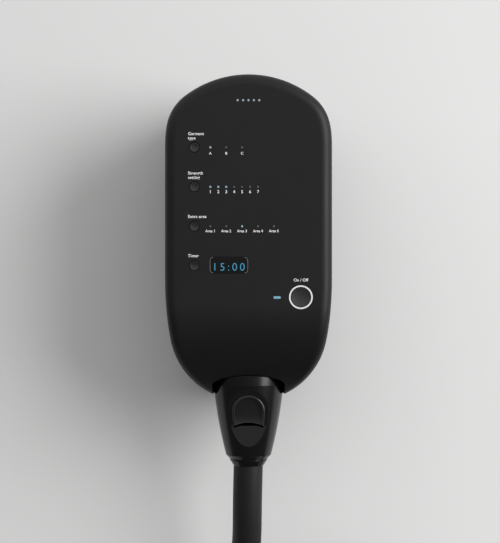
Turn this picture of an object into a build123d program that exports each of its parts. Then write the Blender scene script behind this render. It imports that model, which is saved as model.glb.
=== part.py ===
"""Compression therapy pump, lying on its back with its air hose plugged in.

Millimetres. X runs across the pump, Y from the hose end to the rounded head, Z up out of the front
face. The origin is on the table, under the middle of the pump and plug together. A deep front cover
and a rear housing close on a battery, a compressor, a valve manifold and two boards. A latched
five-way plug carries the hose, which comes down to the table and is coiled there.
"""

import os
from math import atan2, cos, degrees, pi, radians, sin, sqrt, tan

from build123d import *

# ------------------------------------------------------------------ housing, seen from the front
WIDTH = 108.0
FLANK = 87.7  # straight side between the two rounded ends
HEAD_EASE_RADIUS = 70.0  # the flank eases into the head on this arc
HEAD_EASE_TURN = 9.5
HEAD_SHOULDER_RADIUS = 30.8
HEAD_SHOULDER_TURN = 52.4  # where the crown arc takes over, measured from the flank
FOOT_EASE_RADIUS = 226.0
FOOT_EASE_TURN = 10.0
FOOT_SHOULDER_RADIUS = 52.6
FOOT_SHOULDER_TURN = 77.7

# ------------------------------------------------------------------ housing, seen from the side
THICKNESS = 100.0  # table to front face
FOOT_HEIGHT = 2.0
WALL = 2.5
FRONT_EDGE_RADIUS = 7.0
BACK_EDGE_RADIUS = 16.0
BACK_DRAFT = 4.0
ROLL_START = 65.0  # the front face starts to roll back this far above the hose end
ROLL_HEIGHT = 67.0
ROLL_DEPTH = 64.0
SEAM = 0.3
LIP_HEIGHT = 2.0
LIP_THICKNESS = 1.1
LIP_ROOT = 1.0  # of the lip, inside the rear housing's wall
FIT = 0.15  # between two pieces that stay together
RUNNING = 0.3  # between two pieces that move
TOUCH = 0.05  # between two faces that meet
CUT = 1.0  # cuts start this far outside what they cut

# ------------------------------------------------------------------ plug and socket
PLUG_DEPTH = 39.5  # plug axis behind the front face
PLUG_RADIUS = 23.3
PLUG_OVERHANG = 41.3  # collar end past the hose end of the housing
PLUG_CROWN = 19.4  # crown of the plug above the hose end of the housing
PLUG_ARCH = 6.5  # the vaulted plug top rises this far from side to crown
PLUG_SHOULDER = 13.0  # the taper starts this far above the hose end
PLUG_TIP_RADIUS = 15.0
PLUG_TIP = 7.1  # foot of the taper above the collar's end
PLUG_BULGE = 1.0  # of the taper, out from a straight cone
PLUG_WALL = 2.2
PLUG_GAP = 0.6
COLLAR_LENGTH = 4.7
COLLAR_RADIUS = 12.7
COLLAR_NECK = 10.1
COLLAR_STEP = 0.2  # the collar stands back this far from the plug's end
COLLAR_TONGUE = 1.0
HOSE_STOP = 2.0  # ledge behind the hose's end
INSERT_RADIUS = 20.9
INSERT_LENGTH = 13.0
INSERT_SINK = 0.6
CHAMBER_LENGTH = 22.0
SOCKET_WALL = 2.0
SOCKET_RADIUS = 20.6
SOCKET_FLANGE = 1.6
SOCKET_FLANGE_THICKNESS = 2.5
PORT_CIRCLE = 12.0
PORT_PLACES = 6  # the sixth place is the latch's
PORT_RADIUS = 2.2
PORT_BORE = 1.3
PORT_REACH = 8.0
PORT_END_GAP = 1.0
BARB_REACH = 9.0
SEAL_WIDTH = 0.9
SEAL_HEIGHT = 1.6
SEAL_DEPTH = 4.0  # behind the insert's front
SEAL_CLEARANCE = 0.1

# ------------------------------------------------------------------ release latch in the plug
RECESS_RADIUS = 12.9
RECESS_TOP = 10.6  # top of the thumb recess above the hose end
RECESS_TAIL = 25.0  # reach of its lower half
RECESS_FLOOR = 15.0  # from the plug axis
RECESS_FLOOR_WALL = 1.4
SCOOP_FLOOR = 16.2  # from the plug axis, at the recess's tail
PAD_RADIUS = 10.8
PAD_TOP = 6.9
PAD_HEIGHT = 20.7
PAD_NARROWING = 0.9
PAD_FRONT = 20.8  # pad surface from the plug axis, at its top
PAD_TILT = 5.0
PAD_BASE = 16.6  # underside of the pad from the plug axis
PAD_SCALLOP = 2.5  # the pad's lower edge curves in this far
PAD_GAP = (1.4, 2.0)  # open slot past the pad's lower edge, at its corners and in its middle
PAD_RIM = 1.5
PAD_DISH = (0.8, 2.0, 1.0)  # depth of the dish at its top, in its middle and at its foot
PAD_EDGE = 0.9
LATCH_WIDTH = 8.0
LATCH_THICKNESS = 2.4
LATCH_HEIGHT = 13.2  # top of the lever's arm from the plug axis
LATCH_WEB_END = 3.4  # the web under the pad stops this far below the pad's top
LATCH_ANGLE = 4.0
TOOTH_HEIGHT = 1.6
TOOTH_LENGTH = 3.0
TOOTH_CREST = 1.0
TOOTH_ROOM = 1.5
TOOTH_REACH = 5.0  # past the crown of the plug
PIVOT_RADIUS = 1.0
PIVOT_PLACE = (-10.0, 12.0)  # above the hose end, and from the plug axis
PIVOT_BOSS = 2.6
PIN_REACH = 12.6  # either side of the middle
PIN_CLEARANCE = 0.08
SPRING_THICKNESS = 0.4
SPRING_LENGTH = 14.0
SPRING_DROPS = (5.0, 3.6, 6.5)  # below the arm at its root, middle and tip

# ------------------------------------------------------------------ controls on the front face
KEY_FROM_SIDE = 19.3
KEY_ROW_FROM_TOP = 47.7
KEY_PITCH = 25.35
KEY_RADIUS = 2.9
KEY_RING_GAP = 0.75
KEY_RIM = 0.3
KEY_FLANGE = 1.0
KEY_SINK = 0.35
KEY_TRAVEL = 0.6
KEY_DISH_RADIUS = 11.0
START_FROM_SIDE = 20.35
START_ALONG = -15.7
START_RING_RADIUS = 7.85
START_RING_WIDTH = 1.2
START_RING_HEIGHT = 1.6
START_RING_RISE = 0.15
START_RIM = 0.4
START_SINK = 0.4
START_TRAVEL = 0.8
START_DISH_RADIUS = 30.0
STATUS_FROM_START = 15.25
STATUS_ALONG = -15.9
STATUS_SIZE = (4.9, 1.65)
LAMP_RADIUS = 0.62
LAMP_PITCH = 10.2  # also from a key to its first lamp
LEVEL_PITCH = 5.1
LAMP_BOARD_GAP = 1.0
CHARGE_PITCH = 3.47
CHARGE_FROM_TOP = 17.4
WINDOW_FROM_KEYS = 22.1
WINDOW_RISE = 0.3  # above the time key's middle
WINDOW_SIZE = (25.2, 10.8)
WINDOW_CORNER = 2.1
WINDOW_THICKNESS = 1.2
WINDOW_LEDGE = 1.2

# ------------------------------------------------------------------ boards and switches
KEYBOARD_DEPTH = 10.0  # front of the key board behind the front face
KEYBOARD_FROM_SIDE = 15.0
KEYBOARD_TOP = 34.0  # down from the top of the pump
KEYBOARD_BOTTOM = 152.0
KEYBOARD_TAB = (28.0, 21.0)  # the tab under the charge lamps
BOARD_THICKNESS = 1.6
SWITCH_SIZE = 6.0
SWITCH_HEIGHT = 2.6
SWITCH_PLUNGER = 0.6
MODULE_SIZE = (30.0, 15.0)
MAIN_BOARD_FROM_SIDE = 16.0
MAIN_BOARD_LENGTH = 90.0
MAIN_BOARD_FROM_TOP = 83.0
MAIN_BOARD_DEPTH = 27.0
MAIN_BOARD_CORNER = 2.0
LINK_SIZE = (24.0, 5.0)
LINK_FROM_EDGE = 8.0

# ------------------------------------------------------------------ inside the rear housing
CELL_RADIUS = 9.2
CELL_LENGTH = 65.2
CELL_PITCH = 18.8
CELL_CAP = 3.0
CELL_CAP_WALL = 1.0
CELL_CAP_CORNER = 6.0
BATTERY_FROM_TOP = 58.0
MOTOR_RADIUS = 15.0
MOTOR_HEAD_GAP = 7.0
HEAD_BLOCK = (27.0, 36.0, 44.0)
PUMP_FROM_TOP = 101.0
PUMP_SIDE_ROOM = 19.0  # from the pump's side to the mounting plate
PUMP_PLATE = (38.0, 2.0)  # along, and thick
PLATE_CORNER = 3.0
SHAFT_RADIUS = 1.6
SHAFT_CLEARANCE = 0.05
SHAFT_INSET = 2.0  # in the motor's back, and short of the head's bore
BORE_FLOOR = 2.0
CRANK_RADIUS = 7.0
CRANK_OFFSET = 2.0
CRANK_CLEARANCE = 1.0
CRANK_DEPTH = 4.0  # of its room behind the head's face
CRANK_WIDTH = 6.0
CRANK_ROOM = 10.0
GROMMET_RADIUS = 4.0
GROMMET_HEIGHT = 6.0
GROMMET_INSET = 5.0
MANIFOLD_SIZE = (68.0, 14.0, 48.0)
MANIFOLD_BARB_GAP = 1.0
TUBE_WALL = 1.2
TUBE_END_GAP = 1.0
VALVE_COUNT = 5
VALVE_RADIUS = 6.2
VALVE_LENGTH = 22.0
VALVE_PITCH = 13.2
SUPPLY_PLACE = (20.0, 54.0)  # across, and above the table
SUPPLY_FROM_TOP = 6.0  # of the pump's head
SUPPLY_STRAIGHT = 12.0
SUPPLY_BEND = 6.0
MANIFOLD_ABOVE_PORTS = 5.0
VALVE_FROM_EDGE = 2.0

# ------------------------------------------------------------------ fasteners, feet, side controls
SCREW_PLACES = ((9.0, 62.0), (9.0, 128.0), (32.0, 22.0), (20.0, 190.0))  # from side, from top
SCREW_RADIUS = 1.5
SCREW_HEAD_RADIUS = 2.75
SCREW_HEAD_HEIGHT = 2.0
SCREW_LENGTH = 18.0
SCREW_SLOT = (4.0, 0.9, 1.0)
BOSS_RADIUS = 5.2
WELL_RADIUS = 3.2
SEAT_DEPTH = 8.0  # screw seat below the seam
FOOT_RADIUS = 6.0
FOOT_RECESS = 1.0
FOOT_EDGE = 0.6
FOOT_PLACES = ((28.0, 42.0), (32.0, 178.0))  # from side, from top
VENT_SIZE = (34.0, 2.0)
VENT_COUNT = 8
VENT_PITCH = 5.0
VENT_FROM_TOP = 101.0
SIDE_HEIGHT = 34.0
SIDE_RECESS_RADIUS = 8.0
SIDE_RECESS_DEPTH = 2.8
SIDE_LIP = 0.6
POWER_FROM_TOP = 88.0
POWER_RADIUS = 5.6
POWER_TRAVEL = 0.8
POWER_LENGTH = 5.0
POWER_EDGE = 0.5
POWER_FLANGE = 7.0
POWER_FLANGE_DEPTH = 3.4  # behind the recess's floor
POWER_FLANGE_THICKNESS = 1.2
POWER_SWITCH = (10.0, 7.0)  # square, and deep
INLET_FROM_TOP = 110.0
INLET_FLANGE = 6.6
INLET_RISE = 0.8
INLET_BACK = 2.0
INLET_BODY = 4.3
INLET_BORE = 2.85
INLET_DEPTH = 9.0
INLET_PIN = 1.0
INLET_PIN_SINK = 1.0

# ------------------------------------------------------------------ hose
HOSE_RADIUS = 9.75
# The stretch from inside the collar down to the coil: across, along from the collar's end, height.
HOSE_ROUTE = (
    (0.0, 6.0, 60.5),
    (0.0, -20.0, 60.5),
    (0.0, -48.0, 54.0),
    (-5.0, -73.0, 44.5),
    (-15.5, -97.5, 35.5),
    (-28.6, -117.6, 31.0),
)
CORNER_SHARE = 0.45  # of the shorter run, taken by the arc at a corner of the route
COIL_RADIUS = 97.5  # at the middle of the hose
COIL_FLOOR_GAP = 0.01
COIL_STACK = 19.9  # the coil's first turn above its second one
COIL_DOUBLE = 160.0  # the two turns lie on each other over this much of the circle
COIL_HIGH = 225.0  # and the first one is up over this much
END_PLUG_RADIUS = 12.2
END_PLUG_LENGTH = 30.0
END_PLUG_EDGE = 1.5
END_NOSE_RADIUS = 10.0
END_NOSE_LENGTH = 14.0
END_PORT_CIRCLE = 5.8

# ------------------------------------------------------------------ derived places
half_width = WIDTH / 2


def closing_arc(ease_radius, ease_turn, shoulder_radius, shoulder_turn):
    """Radius of the arc that closes a rounded end on the centre line, and the end's reach."""
    ease, shoulder = radians(ease_turn), radians(shoulder_turn)
    left = half_width - ease_radius * (1 - cos(ease))
    left -= shoulder_radius * (cos(ease) - cos(shoulder))
    radius = left / cos(shoulder)
    reach = ease_radius * sin(ease) + shoulder_radius * (sin(shoulder) - sin(ease))
    return radius, reach + radius * (1 - sin(shoulder))


head_radius, head_reach = closing_arc(
    HEAD_EASE_RADIUS, HEAD_EASE_TURN, HEAD_SHOULDER_RADIUS, HEAD_SHOULDER_TURN
)
foot_radius, foot_reach = closing_arc(
    FOOT_EASE_RADIUS, FOOT_EASE_TURN, FOOT_SHOULDER_RADIUS, FOOT_SHOULDER_TURN
)
overall_length = head_reach + FLANK + foot_reach + PLUG_OVERHANG
top_y = overall_length / 2
upper_y = top_y - head_reach
lower_y = upper_y - FLANK
end_y = lower_y - foot_reach
collar_y = end_y - PLUG_OVERHANG
crown_y = end_y + PLUG_CROWN
roll_y = end_y + ROLL_START
front_z = THICKNESS
inner_z = front_z - WALL
plug_z = front_z - PLUG_DEPTH
part_z = plug_z
back_z = FOOT_HEIGHT
floor_z = back_z + WALL
ceiling_y = crown_y + PLUG_GAP
socket_back_y = ceiling_y + SOCKET_WALL + FIT + SOCKET_FLANGE_THICKNESS
plug_axis = Axis((0, 0, plug_z), (0, 1, 0))
port_turns = [90 + 360 / PORT_PLACES * place for place in range(1, PORT_PLACES)]
port_points = [
    (PORT_CIRCLE * cos(radians(turn)), plug_z + PORT_CIRCLE * sin(radians(turn)))
    for turn in port_turns
]
key_names = ("attachment", "pressure", "zone", "time")
key_x = KEY_FROM_SIDE - half_width
key_ys = [top_y - KEY_ROW_FROM_TOP - row * KEY_PITCH for row in range(len(key_names))]
start_place = (half_width - START_FROM_SIDE, START_ALONG)
start_radius = START_RING_RADIUS - START_RING_WIDTH - RUNNING
status_place = (start_place[0] - STATUS_FROM_START, STATUS_ALONG)
lamp_x = key_x + LAMP_PITCH
lamp_rows = {
    "attachment_lamps": [(lamp_x + LAMP_PITCH * i, key_ys[0]) for i in range(3)],
    "pressure_lamps": [(lamp_x + LEVEL_PITCH * i, key_ys[1]) for i in range(7)],
    "zone_lamps": [(lamp_x + LAMP_PITCH * i, key_ys[2]) for i in range(5)],
    "charge_lamps": [(CHARGE_PITCH * (i - 2), top_y - CHARGE_FROM_TOP) for i in range(5)],
}
window_place = (key_x + WINDOW_FROM_KEYS, key_ys[3] + WINDOW_RISE)
board_z = front_z - KEYBOARD_DEPTH
switch_z = board_z + SWITCH_HEIGHT
screw_points = [
    (side * (half_width - inward), top_y - down)
    for inward, down in SCREW_PLACES
    for side in (-1, 1)
]
foot_points = [
    (side * (half_width - inward), top_y - down) for inward, down in FOOT_PLACES for side in (-1, 1)
]
side_floor = half_width - SIDE_RECESS_DEPTH
seat_z = part_z - SEAT_DEPTH
power_y = top_y - POWER_FROM_TOP
inlet_y = top_y - INLET_FROM_TOP
pump_y = top_y - PUMP_FROM_TOP
plate_z = floor_z + GROMMET_HEIGHT
plate_width = 2 * (half_width - PUMP_SIDE_ROOM)
head_z = plate_z + PUMP_PLATE[1]
motor_z = head_z + MOTOR_RADIUS + FIT
supply_z = head_z + HEAD_BLOCK[2] - SUPPLY_FROM_TOP
manifold_y = socket_back_y + 2 * BARB_REACH + MANIFOLD_BARB_GAP
latch_swing = (crown_y + TOOTH_REACH - end_y - PIVOT_PLACE[0]) * tan(radians(LATCH_ANGLE)) + RUNNING
nodes = {}


def side_plane(x):
    """A plane that faces +X at this x, with its own x along Y and its own y up."""
    return Plane(origin=(x, 0, 0), x_dir=(0, 1, 0), z_dir=(1, 0, 0))


def hose_plane(y):
    """A plane that faces +Y at this y, with its own x against X and its own y up."""
    return Plane(origin=(0, y, 0), x_dir=(-1, 0, 0), z_dir=(0, 1, 0))


# ------------------------------------------------------------------ forms shared by the two shells
def outline(height, inset=0.0):
    """The housing's outline in a plane at this height, pulled in by inset."""
    with BuildSketch(Plane.XY.offset(height)) as sketch:
        with BuildLine():
            flank = Line((half_width, lower_y), (half_width, upper_y))
            up = JernArc(flank @ 1, (0, 1), HEAD_EASE_RADIUS, HEAD_EASE_TURN)
            turn = HEAD_SHOULDER_TURN - HEAD_EASE_TURN
            up = JernArc(up @ 1, up % 1, HEAD_SHOULDER_RADIUS, turn)
            JernArc(up @ 1, up % 1, head_radius, 90 - HEAD_SHOULDER_TURN)
            down = JernArc(flank @ 0, (0, -1), FOOT_EASE_RADIUS, -FOOT_EASE_TURN)
            turn = FOOT_SHOULDER_TURN - FOOT_EASE_TURN
            down = JernArc(down @ 1, down % 1, FOOT_SHOULDER_RADIUS, -turn)
            JernArc(down @ 1, down % 1, foot_radius, FOOT_SHOULDER_TURN - 90)
            mirror(about=Plane.YZ)
        make_face()
        if inset:
            offset(amount=-inset)
    return sketch.sketch


def cover_form(inset):
    """The space inside the front cover's surface, pulled in by inset on every side."""
    with BuildPart() as form:
        add(outline(part_z, inset))
        extrude(amount=front_z - inset - part_z)
        with BuildSketch(Plane.YZ):
            with BuildLine():
                face = Line((top_y + CUT, front_z - inset), (roll_y, front_z - inset))
                roll = EllipticalCenterArc(
                    (roll_y, front_z - ROLL_DEPTH),
                    ROLL_HEIGHT - inset,
                    ROLL_DEPTH - inset,
                    start_angle=90,
                    arc_size=90,
                )
                Polyline(
                    roll @ 1,
                    ((roll @ 1).X, part_z - ROLL_DEPTH),
                    (top_y + CUT, part_z - ROLL_DEPTH),
                    face @ 0,
                )
            make_face()
        extrude(amount=WIDTH, both=True, mode=Mode.INTERSECT)
        rim = form.edges().filter_by(lambda e: e.center().Z > part_z + CUT)
        rim = rim.filter_by(Axis.Z, reverse=True).filter_by(Axis.X, reverse=True)
        fillet(rim, FRONT_EDGE_RADIUS - inset)
    return form.part


def rear_form(inset):
    """The space inside the rear housing's surface, pulled in by inset on every side."""
    with BuildPart() as form:
        add(outline(part_z - SEAM, inset))
        extrude(amount=-(part_z - SEAM - back_z - inset), taper=BACK_DRAFT)
        fillet(form.faces().sort_by(Axis.Z)[0].edges(), BACK_EDGE_RADIUS - inset)
    return form.part


def arch_form(clearance):
    """Everything below the plug's vaulted top grown by a clearance, within the pocket's sides."""
    side = PLUG_RADIUS + clearance
    spring_y = crown_y - PLUG_ARCH
    with BuildPart() as form:
        with BuildSketch(Plane.XY.offset(plug_z - side)):
            with BuildLine():
                EllipticalCenterArc(
                    (0, spring_y), side, PLUG_ARCH + clearance, start_angle=0, arc_size=180
                )
                Polyline(
                    (-side, spring_y), (-side, end_y - WIDTH), (side, end_y - WIDTH), (side, spring_y)
                )
            make_face()
        extrude(amount=side + PLUG_DEPTH + CUT)
    return form.part


def pocket_form(clearance):
    """The plug's pocket: half round behind the plug's axis, open to the front."""
    side = PLUG_RADIUS + clearance
    with BuildPart() as form:
        add(arch_form(clearance))
        with BuildSketch(hose_plane(crown_y + WIDTH)):
            with BuildLine():
                CenterArc((0, plug_z), side, 180, 180)
                Polyline(
                    (side, plug_z), (side, front_z + CUT), (-side, front_z + CUT), (-side, plug_z)
                )
            make_face()
        extrude(amount=-4 * WIDTH, mode=Mode.INTERSECT)
    return form.part


cover_skin = cover_form(0)
cover_core = cover_form(WALL / 2)
cover_space = cover_form(WALL)
rear_skin = rear_form(0)
rear_core = rear_form(WALL / 2)
rear_space = rear_form(WALL)
plug_pocket = pocket_form(PLUG_GAP)
pocket_shell = pocket_form(PLUG_GAP + SOCKET_WALL)


with BuildPart() as socket_bore:
    with BuildSketch(hose_plane(crown_y - PLUG_ARCH)):
        with Locations((0, plug_z)):
            Circle(SOCKET_RADIUS)
    extrude(amount=3 * PLUG_ARCH)


# ------------------------------------------------------------------ front cover
cover_pocket = pocket_shell & cover_skin
with BuildPart() as cover_bosses:
    with BuildSketch(Plane.XY.offset(part_z)):
        with Locations(*screw_points):
            Circle(BOSS_RADIUS)
    extrude(amount=PLUG_DEPTH)
    add(cover_core, mode=Mode.INTERSECT)

with BuildPart() as front_cover:
    add(cover_skin)
    add(cover_space, mode=Mode.SUBTRACT)
    add(outline(part_z, WALL - LIP_THICKNESS - FIT))
    extrude(amount=LIP_HEIGHT + FIT, mode=Mode.SUBTRACT)
    add(cover_pocket)
    add(cover_bosses.part)
    add(plug_pocket, mode=Mode.SUBTRACT)
    add(socket_bore.part, mode=Mode.SUBTRACT)
    with BuildSketch(Plane.XY.offset(part_z)):
        with Locations(*screw_points):
            Circle(SCREW_RADIUS + FIT)
    extrude(amount=SCREW_LENGTH - SEAT_DEPTH + CUT, mode=Mode.SUBTRACT)
    with BuildSketch(Plane.XY.offset(front_z)):
        with Locations(*[(key_x, y) for y in key_ys]):
            Circle(KEY_RADIUS + KEY_RING_GAP)
        for points in lamp_rows.values():
            with Locations(*points):
                Circle(LAMP_RADIUS + FIT)
        with Locations(status_place):
            SlotOverall(STATUS_SIZE[0] + 2 * FIT, STATUS_SIZE[1] + 2 * FIT)
        with Locations(window_place):
            RectangleRounded(
                WINDOW_SIZE[0] - 2 * WINDOW_LEDGE,
                WINDOW_SIZE[1] - 2 * WINDOW_LEDGE,
                WINDOW_CORNER - WINDOW_LEDGE,
            )
        with Locations(start_place):
            Circle(START_RING_RADIUS - START_RING_WIDTH)
    extrude(amount=-2 * WALL, mode=Mode.SUBTRACT)
    with BuildSketch(Plane.XY.offset(front_z + CUT)):
        with Locations(window_place):
            RectangleRounded(
                WINDOW_SIZE[0] + 2 * FIT, WINDOW_SIZE[1] + 2 * FIT, WINDOW_CORNER + FIT
            )
    extrude(amount=-CUT - WINDOW_THICKNESS, mode=Mode.SUBTRACT)
    with BuildSketch(Plane.XY.offset(front_z + CUT)):
        with Locations(start_place):
            Circle(START_RING_RADIUS + FIT)
    extrude(amount=-CUT - START_RING_HEIGHT, mode=Mode.SUBTRACT)
nodes["front_cover"] = front_cover

# ------------------------------------------------------------------ rear housing
rear_pocket = pocket_shell & rear_skin
with BuildPart() as rear_bosses:
    with BuildSketch(Plane.XY.offset(part_z - SEAM)):
        with Locations(*screw_points):
            Circle(BOSS_RADIUS)
    extrude(amount=-part_z)
    add(rear_core, mode=Mode.INTERSECT)

with BuildPart() as lip:
    add(outline(part_z - SEAM - LIP_ROOT, WALL - LIP_THICKNESS))
    extrude(amount=LIP_HEIGHT + SEAM + LIP_ROOT)
    add(outline(part_z - SEAM - LIP_ROOT, WALL))
    extrude(amount=LIP_HEIGHT + SEAM + LIP_ROOT, mode=Mode.SUBTRACT)
    add(pocket_form(PLUG_GAP + SOCKET_WALL + RUNNING), mode=Mode.SUBTRACT)

with BuildPart() as rear_housing:
    add(rear_skin)
    add(rear_space, mode=Mode.SUBTRACT)
    add(rear_pocket)
    add(rear_bosses.part)
    add(lip.part)
    add(plug_pocket, mode=Mode.SUBTRACT)
    add(socket_bore.part, mode=Mode.SUBTRACT)
    with BuildSketch(Plane.XY.offset(seat_z)):
        with Locations(*screw_points):
            Circle(WELL_RADIUS)
    extrude(amount=-part_z, mode=Mode.SUBTRACT)
    with BuildSketch(Plane.XY.offset(part_z)):
        with Locations(*screw_points):
            Circle(SCREW_RADIUS + FIT)
    extrude(amount=-part_z, mode=Mode.SUBTRACT)
    with BuildSketch(Plane.XY.offset(back_z - CUT)):
        with Locations(*foot_points):
            Circle(FOOT_RADIUS + FIT)
    extrude(amount=CUT + FOOT_RECESS, mode=Mode.SUBTRACT)
    with BuildSketch(Plane.XY.offset(back_z - CUT)):
        with Locations((0, top_y - VENT_FROM_TOP)):
            with GridLocations(0, VENT_PITCH, 1, VENT_COUNT):
                SlotOverall(*VENT_SIZE)
    extrude(amount=2 * CUT + WALL, mode=Mode.SUBTRACT)
    with BuildSketch(side_plane(half_width + CUT)):
        with Locations((power_y, SIDE_HEIGHT), (inlet_y, SIDE_HEIGHT)):
            Circle(SIDE_RECESS_RADIUS)
    extrude(amount=-SIDE_RECESS_DEPTH - CUT, mode=Mode.SUBTRACT)
    with BuildSketch(side_plane(half_width + CUT)):
        with Locations((power_y, SIDE_HEIGHT)):
            Circle(POWER_RADIUS + RUNNING)
        with Locations((inlet_y, SIDE_HEIGHT)):
            Circle(INLET_BODY + FIT)
    extrude(amount=-4 * WALL, mode=Mode.SUBTRACT)
nodes["rear_housing"] = rear_housing

with BuildPart() as housing_screws:
    with BuildSketch(Plane.XY.offset(seat_z)):
        with Locations(*screw_points):
            Circle(SCREW_RADIUS)
    extrude(amount=SCREW_LENGTH)
    with BuildSketch(Plane.XY.offset(seat_z)):
        with Locations(*screw_points):
            Circle(SCREW_HEAD_RADIUS)
    extrude(amount=-SCREW_HEAD_HEIGHT)
    with BuildSketch(Plane.XY.offset(seat_z - SCREW_HEAD_HEIGHT)):
        with Locations(*screw_points):
            Rectangle(SCREW_SLOT[0], SCREW_SLOT[1])
            Rectangle(SCREW_SLOT[1], SCREW_SLOT[0])
    extrude(amount=SCREW_SLOT[2], mode=Mode.SUBTRACT)
nodes["housing_screws"] = housing_screws

with BuildPart() as rubber_feet:
    with BuildSketch():
        with Locations(*foot_points):
            Circle(FOOT_RADIUS)
    extrude(amount=FOOT_HEIGHT + FOOT_RECESS - TOUCH)
    chamfer(rubber_feet.faces().filter_by(Axis.Z).group_by(Axis.Z)[0].edges(), FOOT_EDGE)
nodes["rubber_feet"] = rubber_feet

# ------------------------------------------------------------------ keys, lamps and window
for key_name, key_y in zip(key_names, key_ys):
    with BuildPart() as key:
        with BuildSketch(Plane.XY.offset(switch_z + KEY_TRAVEL + TOUCH)):
            with Locations((key_x, key_y)):
                Circle(KEY_RADIUS / 2)
        extrude(amount=inner_z - switch_z - KEY_TRAVEL - KEY_FLANGE)
        with BuildSketch(Plane.XY.offset(inner_z - RUNNING)):
            with Locations((key_x, key_y)):
                Circle(KEY_RADIUS + 2 * KEY_RING_GAP)
        extrude(amount=-KEY_FLANGE)
        with BuildSketch(Plane.XY.offset(inner_z - RUNNING - KEY_FLANGE)):
            with Locations((key_x, key_y)):
                Circle(KEY_RADIUS)
        extrude(amount=front_z - KEY_SINK - inner_z + RUNNING + KEY_FLANGE)
        dish_z = front_z - KEY_SINK + sqrt(KEY_DISH_RADIUS**2 - (KEY_RADIUS - KEY_RIM) ** 2)
        with Locations((key_x, key_y, dish_z)):
            Sphere(KEY_DISH_RADIUS, mode=Mode.SUBTRACT)
    nodes[key_name + "_key"] = key

for lamp_name, points in lamp_rows.items():
    with BuildPart() as lamps:
        with BuildSketch(Plane.XY.offset(front_z)):
            with Locations(*points):
                Circle(LAMP_RADIUS)
        extrude(amount=board_z + LAMP_BOARD_GAP - front_z)
    nodes[lamp_name] = lamps

with BuildPart() as status_lamp:
    with BuildSketch(Plane.XY.offset(front_z)):
        with Locations(status_place):
            SlotOverall(*STATUS_SIZE)
    extrude(amount=board_z + LAMP_BOARD_GAP - front_z)
nodes["status_lamp"] = status_lamp

with BuildPart() as display_window:
    with BuildSketch(Plane.XY.offset(front_z)):
        with Locations(window_place):
            RectangleRounded(*WINDOW_SIZE, WINDOW_CORNER)
    extrude(amount=-WINDOW_THICKNESS)
nodes["display_window"] = display_window

with BuildPart() as start_ring:
    with BuildSketch(Plane.XY.offset(front_z - START_RING_HEIGHT)):
        with Locations(start_place):
            Circle(START_RING_RADIUS)
            Circle(START_RING_RADIUS - START_RING_WIDTH, mode=Mode.SUBTRACT)
    extrude(amount=START_RING_HEIGHT + START_RING_RISE)
nodes["start_ring"] = start_ring

with BuildPart() as start_button:
    with BuildSketch(Plane.XY.offset(switch_z + START_TRAVEL + TOUCH)):
        with Locations(start_place):
            Circle(KEY_RADIUS)
    extrude(amount=inner_z - switch_z - START_TRAVEL - KEY_FLANGE)
    with BuildSketch(Plane.XY.offset(inner_z - RUNNING - KEY_FLANGE)):
        with Locations(start_place):
            Circle(START_RING_RADIUS)
    extrude(amount=KEY_FLANGE)
    with BuildSketch(Plane.XY.offset(inner_z - RUNNING - KEY_FLANGE)):
        with Locations(start_place):
            Circle(start_radius)
    extrude(amount=front_z - START_SINK - inner_z + RUNNING + KEY_FLANGE)
    dish_z = front_z - START_SINK + sqrt(START_DISH_RADIUS**2 - (start_radius - START_RIM) ** 2)
    with Locations((*start_place, dish_z)):
        Sphere(START_DISH_RADIUS, mode=Mode.SUBTRACT)
nodes["start_button"] = start_button

# ------------------------------------------------------------------ boards
with BuildPart() as key_board:
    with BuildSketch(Plane.XY.offset(board_z)):
        with BuildLine():
            board_half = half_width - KEYBOARD_FROM_SIDE
            board_top = top_y - KEYBOARD_TOP
            tab = KEYBOARD_TAB[0] / 2
            Polyline(
                (-board_half, top_y - KEYBOARD_BOTTOM),
                (board_half, top_y - KEYBOARD_BOTTOM),
                (board_half, board_top),
                (tab, board_top),
                (tab, board_top + KEYBOARD_TAB[1]),
                (-tab, board_top + KEYBOARD_TAB[1]),
                (-tab, board_top),
                (-board_half, board_top),
                close=True,
            )
        make_face()
    extrude(amount=-BOARD_THICKNESS)
nodes["key_board"] = key_board

with BuildPart() as key_switches:
    with BuildSketch(Plane.XY.offset(board_z)):
        with Locations(*[(key_x, y) for y in key_ys], start_place):
            Rectangle(SWITCH_SIZE, SWITCH_SIZE)
    extrude(amount=SWITCH_HEIGHT - SWITCH_PLUNGER)
    with BuildSketch(Plane.XY.offset(board_z)):
        with Locations(*[(key_x, y) for y in key_ys], start_place):
            Circle(SWITCH_SIZE / 4)
    extrude(amount=SWITCH_HEIGHT)
nodes["key_switches"] = key_switches

with BuildPart() as display_module:
    with BuildSketch(Plane.XY.offset(board_z)):
        with Locations(window_place):
            Rectangle(*MODULE_SIZE)
    extrude(amount=inner_z - board_z - FIT)
nodes["display_module"] = display_module

main_y = top_y - MAIN_BOARD_FROM_TOP
main_z = front_z - MAIN_BOARD_DEPTH
with BuildPart() as main_board:
    with BuildSketch(Plane.XY.offset(main_z)):
        with Locations((0, main_y)):
            RectangleRounded(
                2 * (half_width - MAIN_BOARD_FROM_SIDE), MAIN_BOARD_LENGTH, MAIN_BOARD_CORNER
            )
    extrude(amount=-BOARD_THICKNESS)
nodes["main_board"] = main_board

with BuildPart() as board_link:
    with BuildSketch(Plane.XY.offset(main_z)):
        with Locations((0, main_y + MAIN_BOARD_LENGTH / 2 - LINK_FROM_EDGE)):
            Rectangle(*LINK_SIZE)
    extrude(amount=board_z - BOARD_THICKNESS - main_z)
nodes["board_link"] = board_link

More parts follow.
